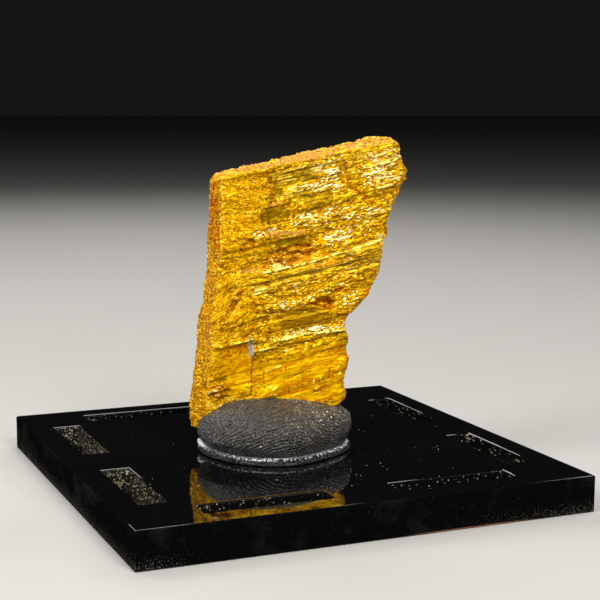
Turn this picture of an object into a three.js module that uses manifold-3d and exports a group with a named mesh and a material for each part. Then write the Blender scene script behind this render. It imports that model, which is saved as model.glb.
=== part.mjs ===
// Orpiment specimen: a cleaved slab of golden orpiment that stands in a lump of black mounting
// putty on a square, slotted plate of black acrylic.
//
// Millimetres, +Z up. The origin is the middle of the plate's underside. The plate's front edge
// runs along X, and +Y points to its back.
//
// The slab is described in its own directions: u runs along its front face, from left to right,
// t runs back through its thickness, and f is the height measured between its fibres, which
// climb to the right. Heights in f start at the plate's top.

import * as THREE from 'three';
import { ImprovedNoise } from 'three/addons/math/ImprovedNoise.js';
import { mergeVertices } from 'three/addons/utils/BufferGeometryUtils.js';
import Module from 'manifold-3d';

// ---- Display plate ----
const PLATE_SIDE = 76;
const PLATE_THICKNESS = 6;
const PLATE_CHAMFER = 0.3;
const SLOT_LENGTH = 20.6;
const SLOT_WIDTH = 4.4;
const SLOT_MARGIN = 4.4; // between the plate's edge and the slot
const SLOT_SPACING = 31.5; // between the middles of the two slots on one side
const CUTTER_REACH = 0.1; // the slots' cutters stand out past the plate's faces

// ---- Putty lump ----
const PUTTY_CENTRE = [-2, -3];
const PUTTY_RADIUS = 12.8;
const PUTTY_HEIGHT = 9.0;
const PUTTY_TILT = -0.11; // its top falls away to the right
const PUTTY_WAIST = 3.4; // height of the widest part above the rolled rim
const PUTTY_TOE = { angle: 2.7, spread: 0.6, reach: 1.1 }; // where its foot spread furthest
const PUTTY_FLAT = { angle: -1.1, spread: 0.65, reach: -1.8 }; // where its side was pushed in
const PUTTY_BULGE = { angle: -2.9, spread: 0.7, reach: 1.6 }; // where it hangs out past its foot
const PUTTY_SHOULDER = { mean: 0.72, swing: -0.17, turn: 0.4 }; // steep to the right, sloping to the left
const PUTTY_SIDE_STEPS = 44;
const PUTTY_DOME_STEPS = 9;
const PUTTY_ROLL = [[0, 0], [0.96, 0], [1.0, 0.4], [0.985, 0.95], [0.94, 1.25], [0.975, 2.1]];
const SOCKET_CLEARANCE = 0.3;
const SOCKET_CUTTER_TOP = 15; // well above the lump

// ---- Orpiment slab ----
const SLAB_CORNER = [-13.3, -3.2]; // the front-left corner, seen from above
const SLAB_YAW = THREE.MathUtils.degToRad(-11);
const SLAB_THICKNESS = 6.5;
const FIBRE_SLOPE = 0.2; // climb of the fibres along u
const FOOT = 4.2;
const FOOT_SAG = 1.0; // its middle reaches this much deeper into the putty
const FOOT_FALL = 0.8; // and so does its right end
const FOOT_FADE = 2; // height over which the foot's curve is lost
const FRONT_CROWN = 46.0;
const CROWN_RISE = { left: 0.2, right: 0.6 }; // the broken top climbs this far towards the back
const CROWN_RISE_RUN = 0.55; // share of the thickness that the climb takes
const CORNER_CHIP = { depth: 1.1, reach: 0.8 }; // missing from the top left corner at the back
const RIM_FALL = { depth: 0.55, reach: 0.6, left: 0.5 }; // the broken rims fall behind the face
const SIDE_CHIPS = { depth: 0.4, rows: 0.7, layers: 0.6, sides: 8 };
const TOP_CRUMBS = { depth: 0.3, along: 0.8, back: 0.5, seed: 2.5 };

// Side outlines, as [u, f] from the foot up.
const LEFT_EDGE = [
  [-1.2, 4.2], [-1.6, 5.4], [-1.5, 8.5], [-1.4, 11.7], [-0.9, 15], [-0.6, 19], [-0.7, 23],
  [0, 26.1], [0.6, 32], [0.9, 38], [1.0, 46],
];
const REAR_LEFT_EDGE = [
  [-2.2, 4.2], [-2.5, 5.6], [-2.3, 9], [-2.1, 12.3], [-1.5, 14.4], [-1.3, 17], [-1.1, 20],
  [-0.7, 22.6], [0, 25], [0.2, 28], [0.5, 31.5], [0.5, 35], [0.9, 38.6], [0.7, 41], [1.0, 46],
];
const RIGHT_EDGE = [
  [21.6, 3.4], [22.5, 4.1], [22.6, 4.9], [22.1, 7.5], [22.8, 9.4], [22.9, 10.7], [22.7, 11.9],
  [22.8, 14.7], [22, 16.5], [22.4, 17.5], [23.1, 18.6], [25.7, 20.9], [26.6, 22.1],
  [27.1, 23.2], [28, 24.5], [28.2, 27], [28, 28.3], [28.4, 29.6], [29.4, 30.9], [29.1, 32.2],
  [29.8, 34.9], [31.2, 37.2], [32, 39.5], [32.3, 40.5], [31.7, 41.9], [31, 44.7], [30.4, 46],
];

// Cleavage panels of the front face: a span in u, a span in f, and how far each stands proud.
const PANELS = [
  { u: [-3, 8.8], f: [33.5, 48], rise: 0.35 },
  { u: [9.6, 21.6], f: [40.6, 44.6], rise: -0.4 },
  { u: [23, 34], f: [38.6, 43.4], rise: 0.3 },
  { u: [7.5, 12.4], f: [36.7, 39.6], rise: -0.6 },
  { u: [13, 30], f: [36.4, 37.6], rise: -0.35 },
  { u: [9.2, 16], f: [31.6, 33.5], rise: -0.45 },
  { u: [6, 29], f: [27.4, 29.8], rise: 0.5 },
  { u: [9, 26], f: [25.2, 27.4], rise: 0.2 },
  { u: [8, 20], f: [20.2, 22.2], rise: -0.3 },
  { u: [8.8, 23], f: [16.9, 18.6], rise: -0.4 },
  { u: [0.2, 6], f: [8, 17.6], rise: -0.7 },
  { u: [6.4, 24], f: [0, 15.8], rise: -0.35 },
];

// Cleavage panels of the back face, which broke in broader steps.
const BACK_PANELS = [
  { u: [13, 34], f: [19.5, 48], rise: 0.7 },
  { u: [-3, 16.5], f: [38.2, 48], rise: -0.6 },
  { u: [-3, 9], f: [12.4, 27], rise: 0.5 },
  { u: [10, 34], f: [31.4, 34.2], rise: 0.5 },
  { u: [4, 26], f: [9.6, 12.6], rise: -0.5 },
];

// Pits and chips: the middle as [u, f], half length and half width, turn and depth.
const PITS = [
  { at: [12.4, 30.7], reach: [4.2, 1.3], turn: 0, depth: 1.0 },
  { at: [5.2, 33.9], reach: [1.5, 0.9], turn: 0.2, depth: 0.8 },
  { at: [18.3, 21.6], reach: [2.0, 0.9], turn: -0.45, depth: 0.9 },
  { at: [20.5, 23.8], reach: [0.9, 0.9], turn: 0, depth: 0.5 },
  { at: [3.1, 24.8], reach: [2.4, 0.8], turn: 1.0, depth: 0.9 },
  { at: [0.9, 9.6], reach: [2.2, 1.2], turn: -0.1, depth: 1.0 },
];

// Cracks across the fibres, from one [u, f] to the other.
const CRACKS = [
  { from: [8.4, 46], to: [9.8, 39.9], width: 0.6, depth: 0.6 },
  { from: [21.6, 44.4], to: [23.9, 37.4], width: 0.6, depth: 0.6 },
  { from: [6.2, 18.4], to: [6.5, 9], width: 0.5, depth: 0.5 },
];

// Fibres: each wave of relief by its height and its counts per millimetre along u and f. The
// first one is cut into steps, `perHeight` of them to one unit of noise.
const FIBRE_STEPS = { height: 0.3, u: 0.08, f: 0.3, perHeight: 1.7, seed: 0 };
const FIBRE_RIDGES = { height: 0.35, u: 0.1, f: 0.62, seed: 5 };
const FIBRE_LUMPS = { height: 0.16, u: 0.43, f: 0.47, seed: 9 };
const FRONT_SEED = 3.3;
const BACK_SEED = 21.7;

const COLUMNS = 26;
const LAYERS = 5;
const ROW_HEIGHT = 1.15;
const LEDGE_HALF_WIDTH = 0.2;
const LEDGE_MARGIN = 0.5; // no ledge has rows of its own this near the foot or the crown
const PANEL_RAMP = 0.5;

const ACRYLIC = { color: 0x0b0b0d, roughness: 0.08, metalness: 0 };
const PUTTY = { color: 0x2a2a2c, roughness: 0.5, metalness: 0 };
const ORPIMENT = { color: 0xd29a0c, roughness: 0.35, metalness: 0 };

const wasm = await Module();
wasm.setup();
const noise = new ImprovedNoise();

// ---- Helpers ----

function toSolid(geometry) {
  const bare = geometry.clone();
  bare.deleteAttribute('normal');
  bare.deleteAttribute('uv');
  const merged = mergeVertices(bare, 1e-4);
  return new wasm.Manifold(new wasm.Mesh({
    numProp: 3,
    vertProperties: new Float32Array(merged.attributes.position.array),
    triVerts: new Uint32Array(merged.index.array),
  }));
}

function toGeometry(solid) {
  const mesh = solid.getMesh();
  const geometry = new THREE.BufferGeometry();
  geometry.setAttribute('position', new THREE.BufferAttribute(mesh.vertProperties, 3));
  geometry.setIndex(new THREE.BufferAttribute(mesh.triVerts, 1));
  geometry.computeVertexNormals();
  return geometry;
}

// Moves every vertex of a geometry to the point that place(vertex) returns.
function warp(geometry, place) {
  const positions = geometry.attributes.position;
  const vertex = new THREE.Vector3();
  for (let i = 0; i < positions.count; i += 1) {
    vertex.fromBufferAttribute(positions, i);
    positions.setXYZ(i, ...place(vertex));
  }
  return geometry;
}

// The u of an outline at height f, in straight runs between its points.
function edgeAt(outline, f) {
  const next = outline.findIndex(([, height]) => height >= f);
  if (next === 0) return outline[0][0];
  if (next < 0) return outline.at(-1)[0];
  const [[u0, f0], [u1, f1]] = [outline[next - 1], outline[next]];
  return THREE.MathUtils.mapLinear(f, f0, f1, u0, u1);
}

// ---- Relief of the slab ----

// 1 inside a span and 0 outside it, with a short ramp at each end.
function inSpan(value, [low, high], ramp) {
  const rising = THREE.MathUtils.smoothstep(value, low - ramp, low + ramp);
  return rising - THREE.MathUtils.smoothstep(value, high - ramp, high + ramp);
}

function pitDepth({ at, reach, turn, depth }, u, f) {
  const [du, df] = [u - at[0], f - at[1]];
  const along = (du * Math.cos(turn) + df * Math.sin(turn)) / reach[0];
  const across = (df * Math.cos(turn) - du * Math.sin(turn)) / reach[1];
  return depth * Math.exp(-((along * along + across * across) ** 2));
}

function crackDepth({ from, to, width, depth }, u, f) {
  const run = new THREE.Line3(new THREE.Vector3(...from, 0), new THREE.Vector3(...to, 0));
  const point = new THREE.Vector3(u, f, 0);
  const distance = run.closestPointToPoint(point, true, new THREE.Vector3()).distanceTo(point);
  return depth * Math.exp(-((distance / width) ** 2));
}

// One wave of the fibres' relief, as noise that is long along u and short across it.
function wave({ u: along, f: across, seed }, u, f, face) {
  return noise.noise(along * u, across * f, face + seed);
}

function fibres(u, f, face) {
  const steps = Math.round(FIBRE_STEPS.perHeight * wave(FIBRE_STEPS, u, f, face));
  const ridges = FIBRE_RIDGES.height * wave(FIBRE_RIDGES, u, f, face);
  return FIBRE_STEPS.height * steps + ridges + FIBRE_LUMPS.height * wave(FIBRE_LUMPS, u, f, face);
}

function panelRise(panels, u, f) {
  const rises = panels.map(({ u: span, f: rows, rise }) => (
    rise * inSpan(u, span, PANEL_RAMP) * inSpan(f, rows, LEDGE_HALF_WIDTH)));
  return rises.reduce((sum, rise) => sum + rise, 0);
}

// How far the front face stands proud of its plane.
function frontRelief(u, f) {
  let relief = fibres(u, f, FRONT_SEED) + panelRise(PANELS, u, f);
  for (const pit of PITS) relief -= pitDepth(pit, u, f);
  for (const crack of CRACKS) relief -= crackDepth(crack, u, f);
  return relief;
}

// How far the back face stands proud of its plane.
function backRelief(u, f) {
  return fibres(u, f, BACK_SEED) + panelRise(BACK_PANELS, u, f);
}

// How far the face falls away at a distance from a broken rim.
function rimFall(distance) {
  return RIM_FALL.depth * Math.exp(-Math.max(distance, 0) / RIM_FALL.reach);
}

// ---- Orpiment slab ----

// Even rows between the foot and the crown, with a close pair at each panel's edge so that the
// ledge between them is sharp.
function rowHeights(low, high) {
  const ledges = PANELS.flatMap(({ f }) => f)
    .filter((edge) => edge > low + LEDGE_MARGIN && edge < high - LEDGE_MARGIN);
  const pairs = ledges.flatMap((edge) => [edge - LEDGE_HALF_WIDTH, edge + LEDGE_HALF_WIDTH]);
  const rows = [low, ...pairs, high].sort((a, b) => a - b);
  const heights = [low];
  for (const row of rows.slice(1)) {
    const start = heights.at(-1);
    const steps = Math.max(1, Math.round((row - start) / ROW_HEIGHT));
    if (row - start < LEDGE_HALF_WIDTH / 2) continue;
    for (let i = 1; i <= steps; i += 1) heights.push(start + ((row - start) * i) / steps);
  }
  return heights;
}

// How far the broken top climbs at a place: more to the right and towards the back, and less at
// its chipped corner.
function crownRise(across, back) {
  const climb = THREE.MathUtils.lerp(CROWN_RISE.left, CROWN_RISE.right, across);
  const chip = CORNER_CHIP.depth * Math.exp(-across * RIGHT_EDGE.at(-1)[0] / CORNER_CHIP.reach);
  return (climb - chip) * Math.min(1, back / CROWN_RISE_RUN);
}

// The height of a point between the foot and the crown, with the curve of each at its own end.
function rowHeight(row, across, back) {
  const rise = crownRise(across, back) * (row - FOOT) / (FRONT_CROWN - FOOT);
  const sag = FOOT_SAG * Math.sin(Math.PI * across) + FOOT_FALL * across;
  return row + rise - sag * Math.exp((FOOT - row) / FOOT_FADE);
}

function sideChips(across, back, f) {
  const { depth, rows, layers, sides } = SIDE_CHIPS;
  const onSide = across === 0 || across === 1;
  const layer = layers * back * SLAB_THICKNESS;
  return onSide ? depth * noise.noise(rows * f, layer, sides * across) : 0;
}

function topCrumbs(u, t) {
  const { depth, along, back, seed } = TOP_CRUMBS;
  return depth * noise.noise(along * u, back * t, seed);
}

// The slab up to the height `crown` of its front face, grown all round by `grow`.
function slabGeometry(crown, grow) {
  const rows = rowHeights(FOOT, crown);
  const box = new THREE.BoxGeometry(1, 1, 1, COLUMNS, LAYERS, rows.length - 1);
  box.translate(0.5, 0.5, 0.5);
  return warp(box, ({ x: across, y: back, z: up }) => {
    const f = rowHeight(rows[Math.round(up * (rows.length - 1))], across, back);
    const left = THREE.MathUtils.lerp(edgeAt(LEFT_EDGE, f), edgeAt(REAR_LEFT_EDGE, f), back);
    const right = edgeAt(RIGHT_EDGE, f);
    const u = THREE.MathUtils.lerp(left, right, across) + sideChips(across, back, f);
    const fall = rimFall(right - u) + RIM_FALL.left * rimFall(u - left);
    const front = fall - frontRelief(u, f);
    const rear = SLAB_THICKNESS - fall + backRelief(u, f);
    const outward = (place) => (place === 0 ? -grow : 0) + (place === 1 ? grow : 0);
    const t = THREE.MathUtils.lerp(front, rear, back) + outward(back);
    const crumbs = up === 1 ? topCrumbs(u, t) : 0;
    return toPlate(u + outward(across), t, f + outward(up) + crumbs);
  });
}

// From the slab's own directions to the plate's.
function toPlate(u, t, f) {
  return [
    SLAB_CORNER[0] + u * Math.cos(SLAB_YAW),
    SLAB_CORNER[1] + u * Math.sin(SLAB_YAW) + t,
    PLATE_THICKNESS + f + FIBRE_SLOPE * u,
  ];
}

// ---- Putty lump ----

// A push or a bulge in the lump's side: strongest at one angle and fading round it.
function dent({ angle: middle, spread, reach }, angle) {
  const turn = Math.atan2(Math.sin(angle - middle), Math.cos(angle - middle));
  return reach * Math.exp(-((turn / spread) ** 2));
}

// The lump's outline seen from above, at height z over the plate.
function puttyRadius(angle, z) {
  const overhang = THREE.MathUtils.smoothstep(z, PUTTY_WAIST / 3, PUTTY_WAIST);
  const spread = THREE.MathUtils.lerp(dent(PUTTY_TOE, angle), dent(PUTTY_BULGE, angle), overhang);
  return PUTTY_RADIUS + dent(PUTTY_FLAT, angle) + spread;
}

function puttyGeometry() {
  const dome = PUTTY_HEIGHT - PUTTY_WAIST;
  const profile = PUTTY_ROLL.map(([r, z]) => new THREE.Vector2(r, z));
  for (let i = 0; i <= PUTTY_DOME_STEPS; i += 1) {
    const angle = (Math.PI / 2) * (i / PUTTY_DOME_STEPS);
    const r = i === PUTTY_DOME_STEPS ? 0 : Math.cos(angle);
    profile.push(new THREE.Vector2(r, PUTTY_WAIST + dome * Math.sin(angle)));
  }
  const lump = new THREE.LatheGeometry(profile, PUTTY_SIDE_STEPS).rotateX(Math.PI / 2);
  return warp(lump, ({ x, y, z }) => {
    const angle = Math.atan2(y, x);
    const { mean, swing, turn } = PUTTY_SHOULDER;
    const power = mean + swing * Math.cos(angle + turn);
    const radius = Math.hypot(x, y);
    const onDome = z > PUTTY_WAIST;
    const reach = puttyRadius(angle, z) * (onDome ? radius ** power : radius);
    const climb = onDome ? ((z - PUTTY_WAIST) / dome) ** power : 0;
    const height = onDome ? PUTTY_WAIST + dome * climb : z;
    return [
      PUTTY_CENTRE[0] + reach * Math.cos(angle),
      PUTTY_CENTRE[1] + reach * Math.sin(angle),
      PLATE_THICKNESS + height + PUTTY_TILT * climb * reach * Math.cos(angle),
    ];
  });
}

function socketedPutty() {
  const socket = toSolid(slabGeometry(SOCKET_CUTTER_TOP, SOCKET_CLEARANCE));
  return toGeometry(toSolid(puttyGeometry()).subtract(socket));
}

// ---- Display plate ----

function rectangle(width, height) {
  return new THREE.Shape()
    .moveTo(-width / 2, -height / 2)
    .lineTo(width / 2, -height / 2)
    .lineTo(width / 2, height / 2)
    .lineTo(-width / 2, height / 2);
}

// A rectangular prism through the plate's whole thickness. A positive chamfer breaks its edges,
// and a negative one flares its two ends, as a cutter for a slot with broken edges.
function chamferedPrism(width, height, chamfer) {
  const reach = Math.abs(chamfer);
  const ends = 2 * Math.max(0, -chamfer);
  return new THREE.ExtrudeGeometry(rectangle(width + ends, height + ends), {
    depth: PLATE_THICKNESS - 2 * PLATE_CHAMFER,
    bevelThickness: reach,
    bevelSize: chamfer,
    bevelOffset: Math.min(0, -chamfer),
    bevelSegments: 1,
  }).translate(0, 0, PLATE_CHAMFER);
}

function plateGeometry() {
  const flare = -PLATE_CHAMFER - CUTTER_REACH;
  const inset = PLATE_SIDE / 2 - SLOT_MARGIN - SLOT_WIDTH / 2;
  let plate = toSolid(chamferedPrism(PLATE_SIDE, PLATE_SIDE, PLATE_CHAMFER));
  for (let quarter = 0; quarter < 4; quarter += 1) {
    for (const along of [-SLOT_SPACING / 2, SLOT_SPACING / 2]) {
      const slot = chamferedPrism(SLOT_LENGTH, SLOT_WIDTH, flare)
        .translate(along, inset, 0)
        .rotateZ(quarter * Math.PI / 2);
      plate = plate.subtract(toSolid(slot));
    }
  }
  return toGeometry(plate);
}

// ---- Specimen ----

function piece(name, geometry, finish) {
  const mesh = new THREE.Mesh(geometry, new THREE.MeshStandardMaterial(finish));
  mesh.name = name;
  return mesh;
}

const specimen = new THREE.Group();
specimen.name = 'orpiment_specimen';
specimen.add(piece('base_plate', plateGeometry(), ACRYLIC));
specimen.add(piece('mounting_putty', socketedPutty(), PUTTY));
specimen.add(piece('orpiment_slab', slabGeometry(FRONT_CROWN, 0), ORPIMENT));

export default specimen;
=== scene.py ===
"""Orpiment specimen: a golden cleaved slab, held by black putty on a slotted acrylic plate.

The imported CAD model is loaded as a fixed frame, and each of its three pieces gets a finely
modelled stand-in here. Sizes are in millimetres and turn into metres as a mesh is written. The
origin is the middle of the plate's underside, +Z is up and +Y is its back.

The slab is described in its own directions: u runs along its front face from left to right, t
runs back through its thickness, and f is the height over the plate measured between its fibres,
which climb to the right.
"""

import logging
import math
import random
from dataclasses import dataclass
from enum import Enum
from typing import Sequence, Union

import bmesh
import bpy
from mathutils import Euler, Matrix, Vector, noise


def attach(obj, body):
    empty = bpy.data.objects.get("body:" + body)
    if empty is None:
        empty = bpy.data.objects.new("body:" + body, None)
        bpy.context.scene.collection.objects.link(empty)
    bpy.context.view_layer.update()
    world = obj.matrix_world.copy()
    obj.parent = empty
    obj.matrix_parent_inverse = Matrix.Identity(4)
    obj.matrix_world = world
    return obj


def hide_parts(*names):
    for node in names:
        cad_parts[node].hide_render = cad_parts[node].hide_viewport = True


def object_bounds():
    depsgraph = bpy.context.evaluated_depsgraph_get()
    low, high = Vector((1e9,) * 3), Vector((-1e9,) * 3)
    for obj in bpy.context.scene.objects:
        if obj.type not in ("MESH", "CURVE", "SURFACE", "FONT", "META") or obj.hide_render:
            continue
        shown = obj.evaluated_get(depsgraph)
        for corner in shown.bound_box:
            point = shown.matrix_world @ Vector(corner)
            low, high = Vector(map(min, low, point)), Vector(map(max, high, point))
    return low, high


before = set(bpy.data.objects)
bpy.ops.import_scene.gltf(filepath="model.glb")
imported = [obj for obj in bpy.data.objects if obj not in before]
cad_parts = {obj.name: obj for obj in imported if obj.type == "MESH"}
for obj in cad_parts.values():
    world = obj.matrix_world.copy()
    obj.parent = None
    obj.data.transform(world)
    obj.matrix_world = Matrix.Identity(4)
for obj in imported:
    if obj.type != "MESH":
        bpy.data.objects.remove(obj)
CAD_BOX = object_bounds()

LOG = logging.getLogger("orpiment_specimen")
MM = 0.001
ROOT = "root"

Pair = tuple[float, float]
Triple = tuple[float, float, float]
Colour = tuple[float, float, float, float]
Outline = tuple[Pair, ...]
Row = tuple[float, ...]
Material = bpy.types.Material
Object = bpy.types.Object
Socket = bpy.types.NodeSocket
Inputs = Union[dict[Union[int, str], object], Sequence[object]]


# ---- Small helpers ----


def linear(hex_colour: str) -> Colour:
    """Turns an sRGB hex colour into the linear RGBA that shaders read.

    Args:
        hex_colour: a colour such as "#C98A00".

    Returns:
        Linear red, green and blue, and an alpha of 1.
    """
    channels = [int(hex_colour[i:i + 2], 16) / 255 for i in (1, 3, 5)]
    toe = 0.04045
    values = [c / 12.92 if c <= toe else ((c + 0.055) / 1.055) ** 2.4 for c in channels]
    return (values[0], values[1], values[2], 1.0)


def clamp(value: float, low: float = 0.0, high: float = 1.0) -> float:
    """Returns the value, kept between low and high."""
    return max(low, min(high, value))


def smoothstep(low: float, high: float, value: float) -> float:
    """Returns 0 below low, 1 above high, and a smooth rise in between."""
    share = clamp((value - low) / (high - low))
    return share * share * (3 - 2 * share)


def mix(start: float, end: float, share: float) -> float:
    """Returns the value that lies at a share of the way from start to end."""
    return start + (end - start) * share


def bell(distance: float, width: float) -> float:
    """Returns 1 at a distance of 0, fading smoothly past a width."""
    return math.exp(-((distance / width) ** 2))


def waver(x: float, y: float, z: float) -> float:
    """Returns smooth noise, from about -1 to 1."""
    return noise.noise(Vector((x, y, z)))


def ripples(x: float, y: float, seed: float, layers: Sequence[Row]) -> float:
    """Adds up layers of noise, each a height, how close it lies along x and y, and a seed."""
    return sum(high * waver(near * x, close * y, seed + own) for high, near, close, own in layers)


def across(outline: Outline, height: float) -> float:
    """Reads an outline at a height.

    Args:
        outline: points as (place, height), from the lowest up.
        height: where to read it.

    Returns:
        The place, in straight runs between the points.
    """
    if height <= outline[0][1]:
        return outline[0][0]
    for (u0, f0), (u1, f1) in zip(outline, outline[1:]):
        if height <= f1:
            return mix(u0, u1, (height - f0) / (f1 - f0))
    return outline[-1][0]


def to_object(bm: bmesh.types.BMesh, name: str, *materials: Material) -> Object:
    """Writes a finished bmesh as an object at the origin.

    Args:
        bm: the mesh, in metres in the row frame. It is freed.
        name: the piece's name.
        materials: its materials, in slot order.

    Returns:
        The new object, smooth shaded and linked to the scene.
    """
    mesh = bpy.data.meshes.new(name)
    for face in bm.faces:
        face.smooth = True
    bm.to_mesh(mesh)
    bm.free()
    for material in materials:
        mesh.materials.append(material)
    piece = bpy.data.objects.new(name, mesh)
    bpy.context.scene.collection.objects.link(piece)
    return piece


def store(piece: Object, name: str, values: Sequence[float]) -> None:
    """Keeps one number for each vertex as an attribute that a material reads."""
    piece.data.attributes.new(name, "FLOAT", "POINT").data.foreach_set("value", values)


def place(piece: Object, slot: str, *nodes: str) -> None:
    """Rides a piece on the frame and lets it stand for its CAD nodes.

    Args:
        piece: the finished piece.
        slot: the record's material slot. It is not used.
        nodes: the CAD nodes that it stands for.
    """
    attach(piece, ROOT)
    if nodes:
        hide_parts(*nodes)
    LOG.info("%s: %d faces", piece.name, len(piece.data.polygons))


# ---- Finishes ----


class Surface(Enum):
    """What a patch of the slab broke into. Each value is also its attribute's name."""

    CRUMPLED = "crumpled"  # bent like foil, and glittering
    LATHED = "lathed"  # long straight laths, side by side
    SATIN = "satin"  # close even fibres, nearly smooth
    CRUMBLY = "crumbly"  # rough and grainy
    GLASSY = "glassy"  # clean cleavage, dark olive as it lets the light in
    DEEP = "deep"  # the orange inside of pits and cracks
    POWDERY = "powdery"  # bruised and tan
    VEIN = "vein"  # grey matrix
    EDGE = "bright_edge"  # a split lip that stands up, painted pale as its highlight
    TIPPED = "tipped_back"  # flakes that lean back and face the light, with more glints painted pale


class Finish:
    """A material in the making: its nodes, and colours that are laid over each other."""

    def __init__(self, name: str) -> None:
        """Starts an empty node material.

        Args:
            name: the material's name.
        """
        self.material = bpy.data.materials.new(name)
        self.material.use_nodes = True
        self.material.node_tree.nodes.clear()

    def add(self, kind: str, inputs: Inputs = (), **settings: object) -> Sequence[Socket]:
        """Adds a node with its settings and links.

        Args:
            kind: the node's type, such as "TexNoise".
            inputs: a value, a hex colour or a socket for each input, in order or by name.
            settings: the node's own properties.

        Returns:
            The new node's outputs.
        """
        tree = self.material.node_tree
        node = tree.nodes.new("ShaderNode" + kind)
        for name, value in settings.items():
            setattr(node, name, value)
        for name, value in inputs.items() if isinstance(inputs, dict) else enumerate(inputs):
            if isinstance(value, Socket):
                tree.links.new(value, node.inputs[name])
            else:
                value = linear(value) if isinstance(value, str) else value
                node.inputs[name].default_value = value
        return node.outputs

    def paint(self, base: Union[str, Socket], *coats: Sequence[object]) -> Socket:
        """Lays coats of colour over a base.

        Args:
            base: the colour below.
            coats: each coat's colour and its mark. The mark is the coat's share, or a pattern
                with the values where the coat starts and is full, and the most that it covers.

        Returns:
            The mixed colour.
        """
        for colour, mark, *span in coats:
            if span:
                low, high, most = (*span, 1.0)[:3]
                mark = self.add("MapRange", (mark, low, high, 0.0, most))[0]
            base = self.add("Mix", {0: mark, 6: base, 7: colour}, data_type="RGBA")[2]
        return base

    def close(self, inputs: dict[str, object]) -> Material:
        """Gives the material its shader, set by its inputs' names, and returns the material."""
        self.add("OutputMaterial", self.add("BsdfPrincipled", inputs)[:1])
        return self.material


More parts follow.
